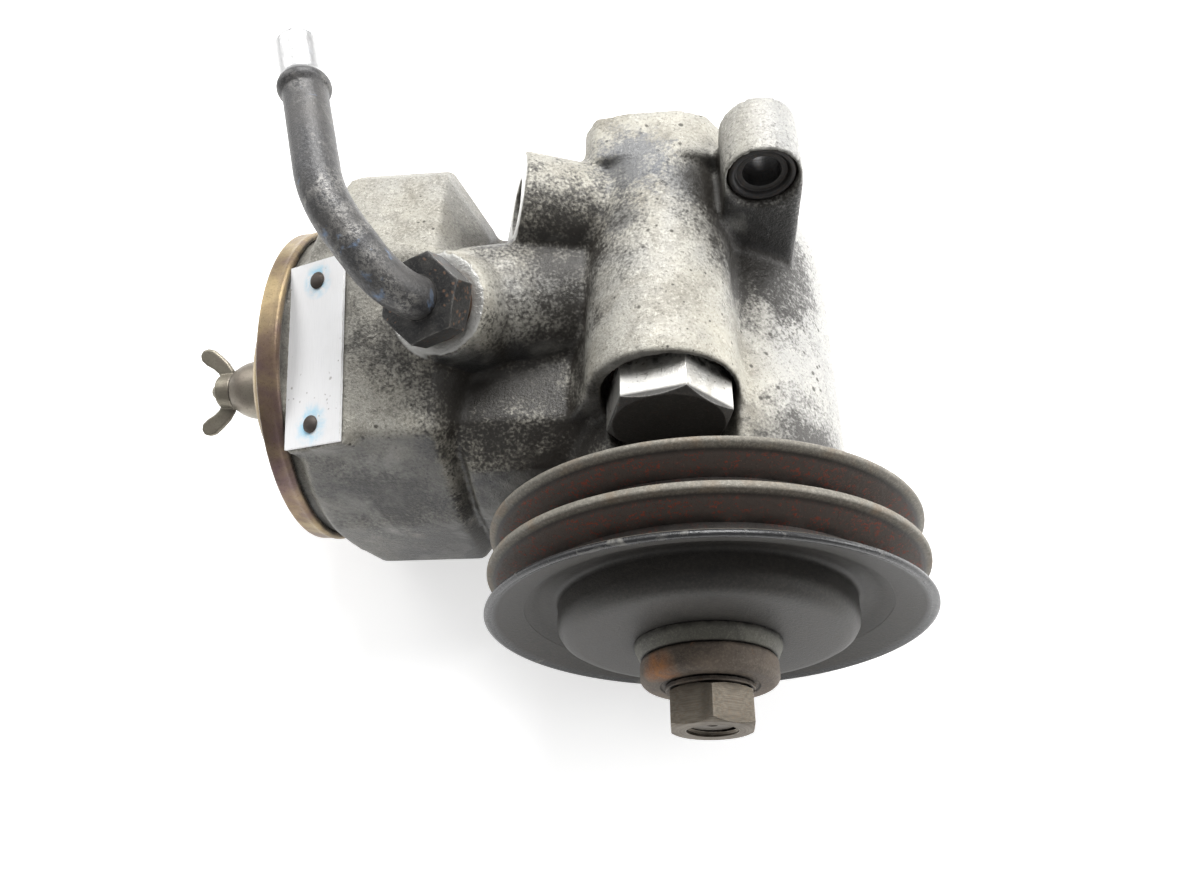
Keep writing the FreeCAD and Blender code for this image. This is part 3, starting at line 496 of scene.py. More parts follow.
class Coat:
    """A material being built up: a base colour and roughness under layers picked by masks."""

    def __init__(self, name, colour, roughness, metallic):
        self.material = bpy.data.materials.new(name)
        self.material.use_nodes = True
        self.tree = self.material.node_tree
        self.tree.nodes.clear()
        self.shader = put(self.tree, "BsdfPrincipled", {"Metallic": metallic, "Roughness": roughness})
        shown = put(self.tree, "OutputMaterial")
        self.tree.links.new(self.shader.outputs["BSDF"], shown.inputs["Surface"])
        self.colour = (*colour, 1)
        self.rough = roughness
        self.metal = metallic
        self.heights = []

    def group(self, name, output, **values):
        """An output of a shared group, with its own values."""
        placed = self.tree.nodes.new("ShaderNodeGroup")
        placed.node_tree = GROUPS[name]
        for key, value in values.items():
            placed.inputs[key.replace("_", " ")].default_value = value
        return placed.outputs[output]

    def layer(self, mask, colour=None, rough=None, metal=None, strength=1.0):
        """Lay another finish over the last one where the mask is light."""
        if strength != 1.0:
            mask = math_of(self.tree, "MULTIPLY", mask, strength)
        if colour is not None:
            self.colour = put(self.tree, "Mix", {"Factor": mask, "A": self.colour,
                                                 "B": self.as_colour(colour)}, data_type="RGBA").outputs[2]
        if rough is not None:
            self.rough = put(self.tree, "Mix", {"Factor": mask, "A": self.rough, "B": rough},
                             data_type="FLOAT").outputs["Result"]
        if metal is not None:
            self.metal = put(self.tree, "Mix", {"Factor": mask, "A": self.metal, "B": metal},
                             data_type="FLOAT").outputs["Result"]

    def as_colour(self, colour):
        return colour if isinstance(colour, bpy.types.NodeSocket) else (*colour, 1)

    def over(self, kind, colour=None, rough=None, metal=None, strength=1.0, **values):
        """Lay another finish where a shared group's mask is light."""
        output = "Value" if kind == "grain" else "Mask"
        self.layer(self.group(kind, output, **values), colour, rough, metal, strength)

    def relief(self, value, depth):
        """Add to the surface's height, in metres."""
        self.heights.append(math_of(self.tree, "MULTIPLY", value, depth))

    def grainy(self, scale, depth):
        """Add fine grain to the surface's height."""
        self.relief(self.group("grain", "Height", Scale=scale), depth)

    def finished(self):
        """Link the built-up colour, roughness, metal and height to the shader."""
        for socket, value in (("Base Color", self.colour), ("Roughness", self.rough),
                              ("Metallic", self.metal)):
            if isinstance(value, bpy.types.NodeSocket):
                self.tree.links.new(value, self.shader.inputs[socket])
            else:
                self.shader.inputs[socket].default_value = value
        if self.heights:
            total = self.heights[0]
            for height in self.heights[1:]:
                total = math_of(self.tree, "ADD", total, height)
            bump = put(self.tree, "Bump", {"Height": total, "Strength": 1.0, "Distance": 1.0})
            self.tree.links.new(bump.outputs["Normal"], self.shader.inputs["Normal"])
        return self.material


def axis_value(coat, axis, low, high):
    """A ramp along one row axis, from 0 at low to 1 at high, in mm."""
    place = place_of(coat.tree)
    parts = put(coat.tree, "SeparateXYZ", {0: place})
    return ranged(coat.tree, parts.outputs[axis], low * MM, high * MM)


def product(coat, *values):
    total = values[0]
    for value in values[1:]:
        total = math_of(coat.tree, "MULTIPLY", total, value)
    return total


# ---- finishes ---------------------------------------------------------------------------
# Dark torn stains on the casting, partly oil and partly painted shade at the waist and under the bosses:
# centre and reach in mm, and how dark.
STAINS = [((-36, 82, 40), 31, 0.97), ((-50, 48, 24), 30, 0.93), ((-42, 30, 8), 30, 0.92),
          ((-66, 44, 36), 20, 0.95), ((-86, 58, 40), 15, 0.88), ((-31, 36, 30), 17, 0.92),
          ((32, 20, 34), 21, 0.92), ((20, 86, 46), 27, 0.97), ((27, 84, 42), 20, 0.9),
          ((-42, 92, 58), 13, 0.85), ((-92, 26, 12), 19, 0.85), ((-74, 22, -18), 30, 0.85),
          ((-30, 60, 36), 14, 0.8), ((-104, 40, 30), 12, 0.8), ((6, 96, 62), 11, 0.8)]
# Thin bluish oil films, on the top of the valve housing and the pipe boss.
FILMS = [((-17, 104, 64), 13, 0.75), ((-2, 96, 62), 9, 0.6), ((-20, 84, 62), 7, 0.5),
         ((-58, 80, 52), 8, 0.5)]


def weathered_casting():
    """Sand-cast aluminium: cream and grey mottled oxide, torn black stains that are partly oil and partly
    painted shade, painted shade in the hollows and on faces turned to the front, bright machined faces.
    """
    coat = Coat("weathered_casting", (0.365, 0.345, 0.29), 0.62, 0.3)
    coat.over("blotch", (0.47, 0.45, 0.385), 0.56, Scale=28.0, Cover=0.45, Softness=0.2)
    coat.over("blotch", (0.27, 0.27, 0.265), 0.5, 0.45, strength=0.85, Scale=20.0, Cover=0.42,
              Softness=0.16, Shift=7.0)
    coat.over("blotch", (0.185, 0.17, 0.14), 0.7, strength=0.7, Scale=110.0, Cover=0.34, Softness=0.12,
              Shift=3.0)
    sand = coat.group("grain", "Height", Scale=1250.0, Detail=6.0)
    coarse = coat.group("grain", "Value", Scale=420.0, Detail=6.0, Low=0.40, High=0.60)
    side = axis_value(coat, "X", 14.0, 24.0)
    coat.layer(side, (0.43, 0.43, 0.425), 0.45, 0.5, strength=0.65)
    rear = axis_value(coat, "X", -60.0, -78.0)
    coat.layer(product(coat, rear, coarse), (0.20, 0.19, 0.165), 0.66, strength=0.4)
    coat.layer(ranged(coat.tree, sand, 0.455, 0.36), (0.085, 0.078, 0.062), 0.7, 0.1, strength=0.72)
    coat.layer(product(coat, coarse, ranged(coat.tree, sand, 0.50, 0.60)), (0.62, 0.60, 0.53), 0.46, 0.4,
               strength=0.6)
    coat.over("speck", (0.03, 0.026, 0.02), 0.6, strength=0.8, Scale=230.0, Size=0.13)
    for centre, reach, dark in FILMS:
        film = coat.group("stain", "Mask", Centre=Vector(centre) * MM, Reach=reach * MM, Break_up=170.0)
        coat.layer(film, (0.085, 0.092, 0.108), 0.36, 0.35, strength=dark)
    # Painted shade with oil: a 30 mm ambient occlusion reach darkens the hollows and the valley between
    # reservoir and pump nearly to black.
    hollow_oil_and_shade = coat.group("grime_and_shade", "Mask", Reach=0.030, Amount=1.0, Break_up=60.0)
    coat.layer(hollow_oil_and_shade, OIL_AND_SHADE_BLACK, 0.45, 0.1, strength=0.88)
    # Dark stains, partly oil and partly painted shade where the waist and the bosses are shaded.
    for centre, reach, dark in STAINS:
        oil = coat.group("stain", "Mask", Centre=Vector(centre) * MM, Reach=reach * MM)
        coat.layer(oil, OIL_AND_SHADE_BLACK, 0.42, 0.1, strength=dark)
    # Painted shade: faces turned to the front and a little down are darkened nearly to black, broken up by
    # broad patches, as if lit only from above and behind. Lighter grey scuffs are laid back over the same
    # faces.
    facing = facing_of(coat.tree)
    front = vectors(coat.tree, "DOT_PRODUCT", facing, (-0.10, -0.97, -0.20), "Value")
    front = ranged(coat.tree, front, 0.72, 0.93)
    painted_shade_breakup = coat.group("blotch", "Mask", Scale=36.0, Cover=0.8, Softness=0.25, Shift=6.0)
    coat.layer(product(coat, front, painted_shade_breakup), (0.043, 0.043, 0.043), 0.36, 0.25, strength=0.93)
    scuffs = coat.group("blotch", "Mask", Scale=55.0, Cover=0.33, Softness=0.1, Shift=19.0)
    coat.layer(product(coat, front, scuffs), (0.30, 0.295, 0.275), 0.5, 0.4, strength=0.7)
    coat.over("wear", (0.66, 0.65, 0.60), 0.36, 0.8, Width=0.0014, Amount=0.55, Break_up=220.0)
    faces = [(UNION_SEAT, UNION_AXIS, 15.2, 2.2), (PORT_FACE, PORT_AXIS, 17.2, 1.6),
             (Vector((EAR_CENTRE.x, 109.0, EAR_CENTRE.z)), SHAFT, 11.2, 1.2),
             (Vector((0, 124.0, 0)), SHAFT, 44.0, 1.2), (Vector((0, -1.0, 0)), -SHAFT, 28.0, 1.2)]
    for centre, axis, radius, depth in faces:
        mask = coat.group("face", "Mask", Centre=centre * MM, Axis=axis, Radius=radius * MM,
                          Depth=depth * MM)
        coat.layer(mask, (0.62, 0.615, 0.59), 0.32, 0.85, strength=0.9)
    coat.relief(sand, 0.00030)
    coat.relief(coarse, 0.00007)
    coat.relief(coat.group("blotch", "Mask", Scale=170.0, Cover=0.5, Softness=0.25), 0.00012)
    return coat.finished()


def worn_black(name, paint, lips_from, band_from, glossy_to):
    """The pulley's black paint: rusty grooves made lighter with painted light, dusty rubbed lips, a glossy
    front lip, a satin dish.
    """
    coat = Coat(name, paint, 0.5, 0.15)
    coat.over("blotch", (0.050, 0.046, 0.041), 0.56, Scale=60.0, Cover=0.5, Softness=0.2)
    dust = coat.group("grain", "Value", Scale=1300.0, Low=0.46, High=0.66)
    coat.layer(dust, (0.11, 0.098, 0.082), 0.7, strength=0.4)
    radius = coat.group("rings", "Radius")
    groove = product(coat, ranged(coat.tree, radius, (lips_from - 2.4) * MM, (lips_from - 3.6) * MM),
                     ranged(coat.tree, radius, (band_from - 0.4) * MM, (band_from + 0.4) * MM),
                     axis_value(coat, "Y", glossy_to, glossy_to + 0.5))
    facing = put(coat.tree, "SeparateXYZ", {0: facing_of(coat.tree)}).outputs["Y"]
    shown_front = product(coat, ranged(coat.tree, facing, -0.1, -0.3), axis_value(coat, "Y", -4.5, -5.0))
    groove = product(coat, groove, math_of(coat.tree, "SUBTRACT", 1.0, shown_front))
    # The groove colour is partly rust and belt dust and partly painted light: lighter than the paint to
    # make up for light that does not reach into the grooves.
    coat.layer(groove, (0.125, 0.105, 0.092), 0.75, 0.0, strength=0.9)
    grit = coat.group("grain", "Value", Scale=950.0, Low=0.525, High=0.555)
    clumps = coat.group("blotch", "Mask", Scale=210.0, Cover=0.45, Softness=0.08)
    coat.layer(product(coat, groove, grit, clumps), (0.34, 0.085, 0.05), 0.85, 0.0, strength=0.95)
    pale = coat.group("grain", "Value", Scale=1900.0, Low=0.62, High=0.68)
    coat.layer(product(coat, groove, pale), (0.42, 0.30, 0.24), 0.85, 0.0, strength=0.7)
    lips = product(coat, ranged(coat.tree, radius, (lips_from - 2.2) * MM, (lips_from - 1.0) * MM),
                   axis_value(coat, "Y", glossy_to, glossy_to + 0.5))
    coat.layer(lips, (0.20, 0.185, 0.155), 0.66, 0.2, strength=0.8)
    coat.layer(product(coat, lips, dust), (0.36, 0.34, 0.29), 0.6, 0.3, strength=0.7)
    coat.layer(product(coat, lips, coat.group("blotch", "Mask", Scale=80.0, Cover=0.3, Shift=8.0)),
               (0.23, 0.15, 0.08), 0.75, 0.0, strength=0.6)
    shiny = product(coat, ranged(coat.tree, radius, (lips_from - 3.6) * MM, (lips_from - 2.2) * MM),
                    axis_value(coat, "Y", glossy_to + 0.5, glossy_to))
    coat.layer(shiny, (0.02, 0.02, 0.021), 0.27, 0.0)
    chips = coat.group("blotch", "Mask", Scale=150.0, Cover=0.26, Softness=0.05, Shift=14.0)
    coat.layer(product(coat, shiny, chips), (0.17, 0.165, 0.15), 0.6, 0.2)
    # Dirt and painted shade in the hollows, from ambient occlusion.
    coat.over("grime_and_shade", (0.012, 0.011, 0.010), 0.6, Reach=0.005, Amount=0.8, Break_up=120.0)
    coat.grainy(1100.0, 0.00018)
    coat.relief(product(coat, groove, grit), 0.00010)
    return coat.finished()


def green_grey_paint():
    """The collar's old greenish grey paint, dusty over black."""
    coat = Coat("green_grey_paint", (0.125, 0.122, 0.098), 0.62, 0.15)
    coat.over("blotch", (0.065, 0.063, 0.052), 0.6, Scale=90.0, Cover=0.45, Softness=0.2)
    coat.over("grain", (0.21, 0.20, 0.165), 0.7, strength=0.6, Scale=1500.0, Low=0.48, High=0.64)
    # Dirt and painted shade in the hollows, from ambient occlusion.
    coat.over("grime_and_shade", (0.016, 0.014, 0.012), 0.6, Reach=0.005, Amount=1.0, Break_up=200.0)
    coat.over("wear", (0.34, 0.32, 0.27), 0.4, 0.6, Width=0.0006, Amount=0.5, Break_up=300.0)
    coat.grainy(1100.0, 0.0002)
    return coat.finished()


def rusty_steel():
    """Dark brown steel with dusty grain, one orange rust patch on its side and rubbed high spots."""
    coat = Coat("rusty_steel", (0.105, 0.085, 0.068), 0.66, 0.3)
    coat.over("blotch", (0.16, 0.125, 0.095), 0.72, 0.1, Scale=120.0, Cover=0.45)
    coat.over("grain", (0.25, 0.205, 0.155), 0.75, strength=0.5, Scale=1500.0, Low=0.48, High=0.64)
    place = place_of(coat.tree)
    patch = put(coat.tree, "VectorMath", {0: place, 1: Vector((-14.5, -29.0, 12.5)) * MM},
                operation="DISTANCE")
    near = ranged(coat.tree, patch.outputs["Value"], 0.0075, 0.001)
    orange = product(coat, near, coat.group("blotch", "Mask", Scale=260.0, Cover=0.62, Softness=0.18))
    coat.layer(orange, (0.44, 0.17, 0.045), 0.85, 0.0)
    coat.over("blotch", (0.36, 0.16, 0.06), 0.85, 0.0, strength=0.7, Scale=240.0, Cover=0.12, Softness=0.05,
              Shift=4.0)
    # Dirt and painted shade in the hollows, from ambient occlusion.
    coat.over("grime_and_shade", (0.02, 0.016, 0.012), 0.6, Reach=0.004, Amount=1.0, Break_up=240.0)
    coat.over("wear", (0.36, 0.33, 0.29), 0.4, 0.9, Width=0.0007, Amount=0.5, Break_up=260.0)
    coat.grainy(1000.0, 0.0003)
    return coat.finished()


def bare_steel(name, colour, roughness, stain=0.4, grime_and_shade=0.5, rings=True, centre=ORIGIN,
               dull_before=None):
    """Machined steel with faint tool rings and thin stains; dull in front of a distance if asked."""
    coat = Coat(name, colour, roughness, 1.0)
    dark = tuple(c * 0.45 for c in colour)
    if rings:
        marks = coat.group("rings", "Value", Scale=2600.0, Centre=centre * MM, Axis=SHAFT)
        coat.layer(ranged(coat.tree, marks, 0.4, 0.62), tuple(c * 0.82 for c in colour), roughness * 1.25)
        coat.relief(marks, 0.00004)
    coat.over("blotch", dark, min(1.0, roughness + 0.15), strength=stain, Scale=90.0, Cover=0.45,
              Softness=0.2)
    coat.over("grain", (0.2, 0.13, 0.08), 0.6, strength=stain * 0.7, Scale=STEEL_GRAIN, Low=0.52, High=0.72)
    # Dirt and painted shade in the hollows, from ambient occlusion.
    coat.over("grime_and_shade", (0.03, 0.024, 0.018), 0.5, Reach=0.005, Amount=grime_and_shade, Break_up=220.0)
    coat.over("wear", tuple(min(1.0, c * 1.25 + 0.08) for c in colour), roughness * 0.8, Width=0.0005,
              Amount=0.7, Break_up=500.0)
    if dull_before is not None:
        coat.layer(axis_value(coat, "Y", dull_before, dull_before - 1.0), (0.13, 0.112, 0.09), 0.55, 0.6,
                   strength=0.92)
    coat.grainy(STEEL_GRAIN, 0.00005)
    return coat.finished()


def oiled_plug():
    """The valve plug: bright scraped flats and a dark end face, partly oil and partly painted shade."""
    coat = Coat("oiled_plug", (0.70, 0.69, 0.655), 0.34, 0.9)
    coat.over("blotch", (0.42, 0.40, 0.35), 0.42, Scale=110.0, Cover=0.3)
    coat.over("blotch", (0.07, 0.06, 0.05), 0.5, strength=0.8, Scale=420.0, Cover=0.2, Softness=0.05,
              Shift=2.0)
    front = plug_low.y / MM
    # Painted shade with oil: the front end face, turned away from the light, is darkened nearly to black.
    end = axis_value(coat, "Y", front + 2.4, front + 1.5)
    coat.layer(end, (0.034, 0.032, 0.029), 0.5, 0.15, strength=0.97)
    coat.layer(product(coat, end, coat.group("grain", "Value", Scale=1400.0, Low=0.5, High=0.68)),
               (0.12, 0.11, 0.095), 0.5, strength=0.6)
    coat.over("speck", (0.12, 0.08, 0.05), 0.7, strength=0.6, Scale=700.0, Size=0.2)
    # Dirt and painted shade in the hollows, from ambient occlusion.
    coat.over("grime_and_shade", (0.02, 0.018, 0.015), 0.45, 0.2, Reach=0.010, Amount=0.9, Break_up=180.0)
    coat.over("wear", (0.75, 0.74, 0.71), 0.25, Width=0.0007, Amount=0.35, Break_up=500.0)
    coat.grainy(900.0, 0.00016)
    return coat.finished()


def yellow_zinc(name, gold, stain, purple=0.4):
    """Yellow zinc plating gone dull, with brown and purple staining."""
    coat = Coat(name, gold, 0.40, 0.8)
    coat.over("blotch", tuple(c * 1.3 for c in gold), 0.34, Scale=32.0, Cover=0.5, Softness=0.2)
    coat.over("blotch", stain, 0.46, Scale=38.0, Cover=0.52, Softness=0.14, Shift=5.0)
    coat.over("blotch", (0.16, 0.10, 0.115), 0.40, strength=purple, Scale=44.0, Cover=0.4, Softness=0.12,
              Shift=9.0)
    coat.over("blotch", (0.07, 0.055, 0.045), 0.5, 0.4, strength=purple, Scale=22.0, Cover=0.34,
              Softness=0.12, Shift=13.0)
    coat.over("grain", tuple(c * 0.4 for c in stain), 0.6, strength=0.6, Scale=1700.0, Low=0.54, High=0.68)
    # Dirt and painted shade in the hollows, from ambient occlusion.
    coat.over("grime_and_shade", (0.03, 0.024, 0.018), 0.55, 0.2, Reach=0.006, Amount=0.8, Break_up=150.0)
    coat.over("wear", (0.66, 0.62, 0.52), 0.28, 1.0, Width=0.0008, Amount=0.7, Break_up=280.0)
    coat.grainy(1100.0, 0.00012)
    return coat.finished()


def scaled_pipe():
    """Dark scaled steel tube, rubbed patches, a trace of blue paint and a bright end past the bead."""
    coat = Coat("scaled_pipe", (0.040, 0.040, 0.042), 0.44, 0.35)
    coat.over("grain", (0.15, 0.15, 0.15), 0.5, strength=0.6, Scale=1500.0, Low=0.48, High=0.62)
    coat.over("blotch", (0.105, 0.10, 0.095), 0.5, 0.5, Scale=70.0, Cover=0.4, Softness=0.2)
    coat.layer(product(coat, coat.group("blotch", "Mask", Scale=95.0, Cover=0.3, Shift=4.0),
                       coat.group("grain", "Value", Scale=900.0, Low=0.45, High=0.55)), (0.33, 0.32, 0.30),
               0.45, 0.7)
    coat.over("blotch", (0.16, 0.25, 0.40), 0.55, 0.0, strength=0.75, Scale=110.0, Cover=0.17,
              Softness=0.05, Shift=6.0)
    place = place_of(coat.tree)
    offset = vectors(coat.tree, "SUBTRACT", place, (PIPE_END - PIPE_AXIS * 14.0) * MM)
    along = vectors(coat.tree, "DOT_PRODUCT", offset, PIPE_AXIS, "Value")
    coat.layer(ranged(coat.tree, along, -0.0015, 0.0), (0.60, 0.60, 0.60), 0.3, 1.0, strength=0.85)
    # Dirt and painted shade in the hollows, from ambient occlusion.
    coat.over("grime_and_shade", (0.02, 0.018, 0.016), 0.6, Reach=0.005, Amount=0.7, Break_up=220.0)
    coat.grainy(1200.0, 0.0002)
    return coat.finished()


def black_union():
    """The union nut's blackened steel."""
    coat = Coat("black_union", (0.024, 0.024, 0.025), 0.4, 0.3)
    coat.over("blotch", (0.055, 0.053, 0.05), 0.5, Scale=150.0, Cover=0.4)
    coat.over("grain", (0.12, 0.115, 0.105), 0.55, strength=0.5, Scale=1400.0, Low=0.5, High=0.66)
    coat.over("speck", (0.22, 0.12, 0.07), 0.8, 0.0, strength=0.5, Scale=600.0, Size=0.28)
    coat.over("wear", (0.24, 0.235, 0.22), 0.35, 0.9, Width=0.0007, Amount=1.0, Break_up=380.0)
    coat.grainy(1000.0, 0.0002)
    return coat.finished()


def blank_plate():
    """Bright aluminium sheet with hairlines, pits and blue marking dye around its rivets."""
    coat = Coat("blank_plate", (0.90, 0.90, 0.905), 0.5, 0.15)
    place = place_of(coat.tree)
    down = vectors(coat.tree, "DOT_PRODUCT", place, PLATE_ALONG, "Value")
    over = vectors(coat.tree, "DOT_PRODUCT", place, PLATE_ACROSS, "Value")
    run = put(coat.tree, "CombineXYZ", {"X": math_of(coat.tree, "MULTIPLY", down, 0.04),
                                        "Y": over}).outputs[0]
    hair = noise_of(coat.tree, run, 4200.0, 3.0)
    coat.layer(ranged(coat.tree, hair, 0.48, 0.66), (0.78, 0.78, 0.785), 0.56, strength=0.4)
    coat.over("blotch", (0.80, 0.80, 0.79), 0.56, strength=0.5, Scale=70.0, Cover=0.3)
    for side, spread in ((-1, 7.0), (1, 6.0)):
        rivet = (PLATE_CENTRE + PLATE_ALONG * (RIVET_REACH * side)) * MM
        away = vectors(coat.tree, "DISTANCE", place, rivet, "Value")
        ring = product(coat, ranged(coat.tree, away, spread * MM, 2.6 * MM),
                       coat.group("blotch", "Mask", Scale=260.0, Cover=0.5, Softness=0.12,
                                  Shift=3.0 * side))
        coat.layer(ring, (0.20, 0.62, 0.86), 0.5, 0.0, strength=0.75)
    coat.over("speck", (0.2, 0.17, 0.14), 0.7, strength=0.5, Scale=420.0, Size=0.15)
    coat.over("wear", (0.5, 0.49, 0.47), 0.4, 0.9, Width=0.0005, Amount=0.5, Break_up=500.0)
    coat.relief(hair, 0.00002)
    return coat.finished()


def rubber(name, colour):
    """Moulded rubber, matt, with a faint bloom."""
    coat = Coat(name, colour, 0.68, 0.0)
    coat.over("blotch", tuple(c * 2.2 for c in colour), 0.78, Scale=120.0, Cover=0.4)
    coat.grainy(2200.0, 0.00006)
    return coat.finished()


def pleated_paper():
    """Oil-soaked filter paper with fibres."""
    coat = Coat("pleated_paper", (0.62, 0.47, 0.26), 0.7, 0.0)
    coat.over("blotch", (0.40, 0.27, 0.13), 0.55, Scale=70.0, Cover=0.5)
    coat.over("grain", (0.72, 0.58, 0.36), strength=0.4, Scale=2400.0)
    coat.grainy(2400.0, 0.00012)
    return coat.finished()


FINISH = {
    "casting": weathered_casting(),
    "plate_metal": blank_plate(),
    "rivet_metal": bare_steel("grey_rivet", (0.13, 0.115, 0.105), 0.58, 0.6, 0.6, rings=False),
    "bush_steel": bare_steel("dark_bush", (0.075, 0.075, 0.077), 0.42, 0.5, 0.8, centre=EAR_CENTRE),
    "pulley_steel": worn_black("pulley_black", (0.030, 0.029, 0.027),
                               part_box("pulley_middle_flange")[1].x / MM,
                               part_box("pulley_drum")[1].x / MM,
                               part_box("pulley_front_flange")[0].y / MM + 1.6),
    "collar_steel": green_grey_paint(),
    "rusty_steel": rusty_steel(),
    "nut_steel": bare_steel("old_nut", (0.22, 0.195, 0.16), 0.5, 0.8, 0.9),
    "ground_steel": bare_steel("ground_steel", (0.62, 0.62, 0.61), 0.24, 0.15, 0.2, dull_before=-24.0),
    "spring_steel": bare_steel("spring_steel", (0.26, 0.26, 0.27), 0.38, 0.2, 0.2, rings=False),
    "plug_steel": oiled_plug(),
    "bearing_steel": bare_steel("bearing_steel", (0.72, 0.72, 0.72), 0.14, 0.08, 0.2),
    "cage_brass": bare_steel("cage_brass", (0.72, 0.52, 0.24), 0.3, 0.2, 0.2),
    "seal_rubber": rubber("seal_rubber", (0.03, 0.03, 0.03)),
    "gasket_rubber": rubber("gasket_rubber", (0.05, 0.045, 0.04)),
    "sintered_iron": bare_steel("sintered_iron", (0.36, 0.355, 0.35), 0.44, 0.3, 0.3),
    "bronze": bare_steel("bronze", (0.62, 0.40, 0.20), 0.34, 0.25, 0.2),
    "zinc_lid": yellow_zinc("zinc_lid", (0.36, 0.28, 0.15), (0.17, 0.115, 0.075), 0.8),
    "zinc_nut": yellow_zinc("zinc_nut", (0.34, 0.32, 0.255), (0.20, 0.18, 0.14), 0.25),
    "union_steel": black_union(),
    "pipe_steel": scaled_pipe(),
    "copper_washer": bare_steel("copper_washer", (0.20, 0.125, 0.085), 0.5, 0.7, 0.9, rings=False),
    "filter_paper": pleated_paper(),
}


def dress_nodes():
    """Give every CAD node the finish of its slot."""
    for part in frame["record"]["subparts"]:
        piece = frame["nodes"][part["node"]]
        piece.data.materials.clear()
        piece.data.materials.append(FINISH[part["material_slot"]])


# ---- casting ------------------------------------------------------------------------------
def casting():
    """The pump and reservoir casting, with the soft corners of a sand casting."""
    piece = copied("pump_housing", "casting")
    ridge = stood_bar("parting_ridge", Vector((10.9, 60.0, 43.6)), (2.6, 52.0, 1.8))
    piece = merged([piece, ridge], "casting")
    modified(piece, "REMESH", mode="VOXEL", voxel_size=CASTING_VOXEL, adaptivity=0.0)
    modified(piece, "SMOOTH", factor=0.5, iterations=4)
    modified(piece, "DECIMATE", ratio=min(1.0, CASTING_FACES / max(1, 2 * len(piece.data.polygons))))
    pick(piece)
    bpy.ops.object.shade_smooth()
    stands_for(piece, "housing", "casting", "pump_housing")


# ---- pulley ---------------------------------------------------------------------------------
def pulley():
    """Three flanges with rolled lips, the drum and the deep dish."""
    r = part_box("pulley_middle_flange")[1].x / MM
    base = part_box("pulley_drum")[1].x / MM
    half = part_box("pulley_middle_flange")[1].y / MM
    piece = lathe("belt_flange_middle", [(base, -half), (r - 1.2, -1.25, 0.6), (r, -0.9, 0.7),
                                         (r, 0.9, 0.7), (r - 1.2, 1.25, 0.6), (base, half)])
    stands_for(piece, "shaft_assembly", "pulley_steel", "pulley_middle_flange")
    low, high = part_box("pulley_rear_flange")
    inner, rim = low.y / MM, high.y / MM
    side = [(base, inner), (r - 1.4, rim - 2.4, 1.0), (r, rim - 1.5, 0.6), (r, rim - 0.35, 0.5),
            (r - 1.0, rim, 0.4), (r - 3.0, rim - 0.9, 0.6), (base, inner + 2.0)]
    stands_for(lathe("belt_flange_rear", side), "shaft_assembly", "pulley_steel", "pulley_rear_flange")
    front = lathe("belt_flange_front", [(c[0], -c[1]) + tuple(c[2:]) for c in side])
    stands_for(front, "shaft_assembly", "pulley_steel", "pulley_front_flange")
    low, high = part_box("pulley_dish")
    y = low.y / MM
    rear = high.y / MM
    dish_r = 42.0
    valley = rear - 2.0
    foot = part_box("pulley_drum")[0].y / MM
    outline = [(8.52, y, 0.2), (30.0, y), (dish_r, y, 7.0), (dish_r, valley, 1.6), (46.5, valley, 2.5),
               (base - 0.02, foot - 2.0, 0.1), (base - 0.02, foot, 0.1), (47.0, valley + 2.0, 2.0),
               (dish_r - 3.0, valley + 2.0, 0.6), (dish_r - 3.0, y + 3.0, 4.2), (8.52, y + 3.0)]
    stands_for(lathe("pulley_pressed_dish", outline), "shaft_assembly", "pulley_steel", "pulley_dish")
    for node in ("pulley_drum", "pulley_hub"):
        name = "turned_" + node.removeprefix("pulley_")
        stands_for(eased(node, name, 0.3), "shaft_assembly", "pulley_steel", node)


def shaft_end():
    """Collar, thick washer, spring washer, nut and the thread inside it."""
    low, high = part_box("pulley_collar")
    a, b = low.y / MM, high.y / MM
    piece = lathe("painted_collar", [(8.52, b), (20.5, b, 0.3), (20.5, b - 1.5, 0.8), (19.0, a, 0.7),
                                     (17.4, a, 0.3), (16.9, a + 0.5, 0.3), (8.52, a + 0.5, 0.2)])
    stands_for(piece, "shaft_assembly", "collar_steel", "pulley_collar")
    low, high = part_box("clamp_washer")
    a, b = low.y / MM, high.y / MM
    piece = lathe("rusty_washer", [(7.3, b), (18.2, b, 0.5), (19.0, b - 1.0, 0.6), (19.0, a + 1.5, 0.9),
                                   (17.5, a, 1.0), (13.6, a, 0.3), (13.3, a + 0.35, 0.2),
                                   (7.3, a + 0.35, 0.3)])
    stands_for(piece, "shaft_assembly", "rusty_steel", "clamp_washer")
    stands_for(eased("spring_washer", "split_washer", 0.2), "shaft_assembly", "rusty_steel",
               "spring_washer")
    low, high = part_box("pulley_nut")
    a, b = low.y / MM, high.y / MM
    nut = eased("pulley_nut", "lock_nut", 0.35)
    ridge = thread_ridge("nut_thread", 7.05, 6.4, 1.5, a + 0.9, a + 3.6, ORIGIN, SHAFT)
    stands_for(merged([nut, ridge], "lock_nut"), "shaft_assembly", "nut_steel", "pulley_nut")


# ---- valve plug, union, pipe and bush ----------------------------------------------------------
def plug():
    """The hexagon plug with its rubbed corners."""
    stands_for(eased("valve_plug", "hexagon_plug", 0.5), "housing", "plug_steel", "valve_plug")


def bush():
    """The pressed bush with its recessed stepped face."""
    a, b = bush_low.y / MM, bush_high.y / MM
    piece = lathe("ear_steel_bush", [(5.25, a + 1.4, 0.2), (7.0, a + 1.4, 0.2), (7.4, a + 0.4, 0.3),
                                     (7.9, a, 0.3), (9.0, a, 0.4), (9.58, a + 0.7, 0.4), (9.58, b - 0.3),
                                     (9.2, b, 0.3), (6.0, b, 0.3), (5.25, b - 0.8, 0.3)], EAR_CENTRE,
                  steps=96)
    stands_for(piece, "housing", "bush_steel", "ear_bush")


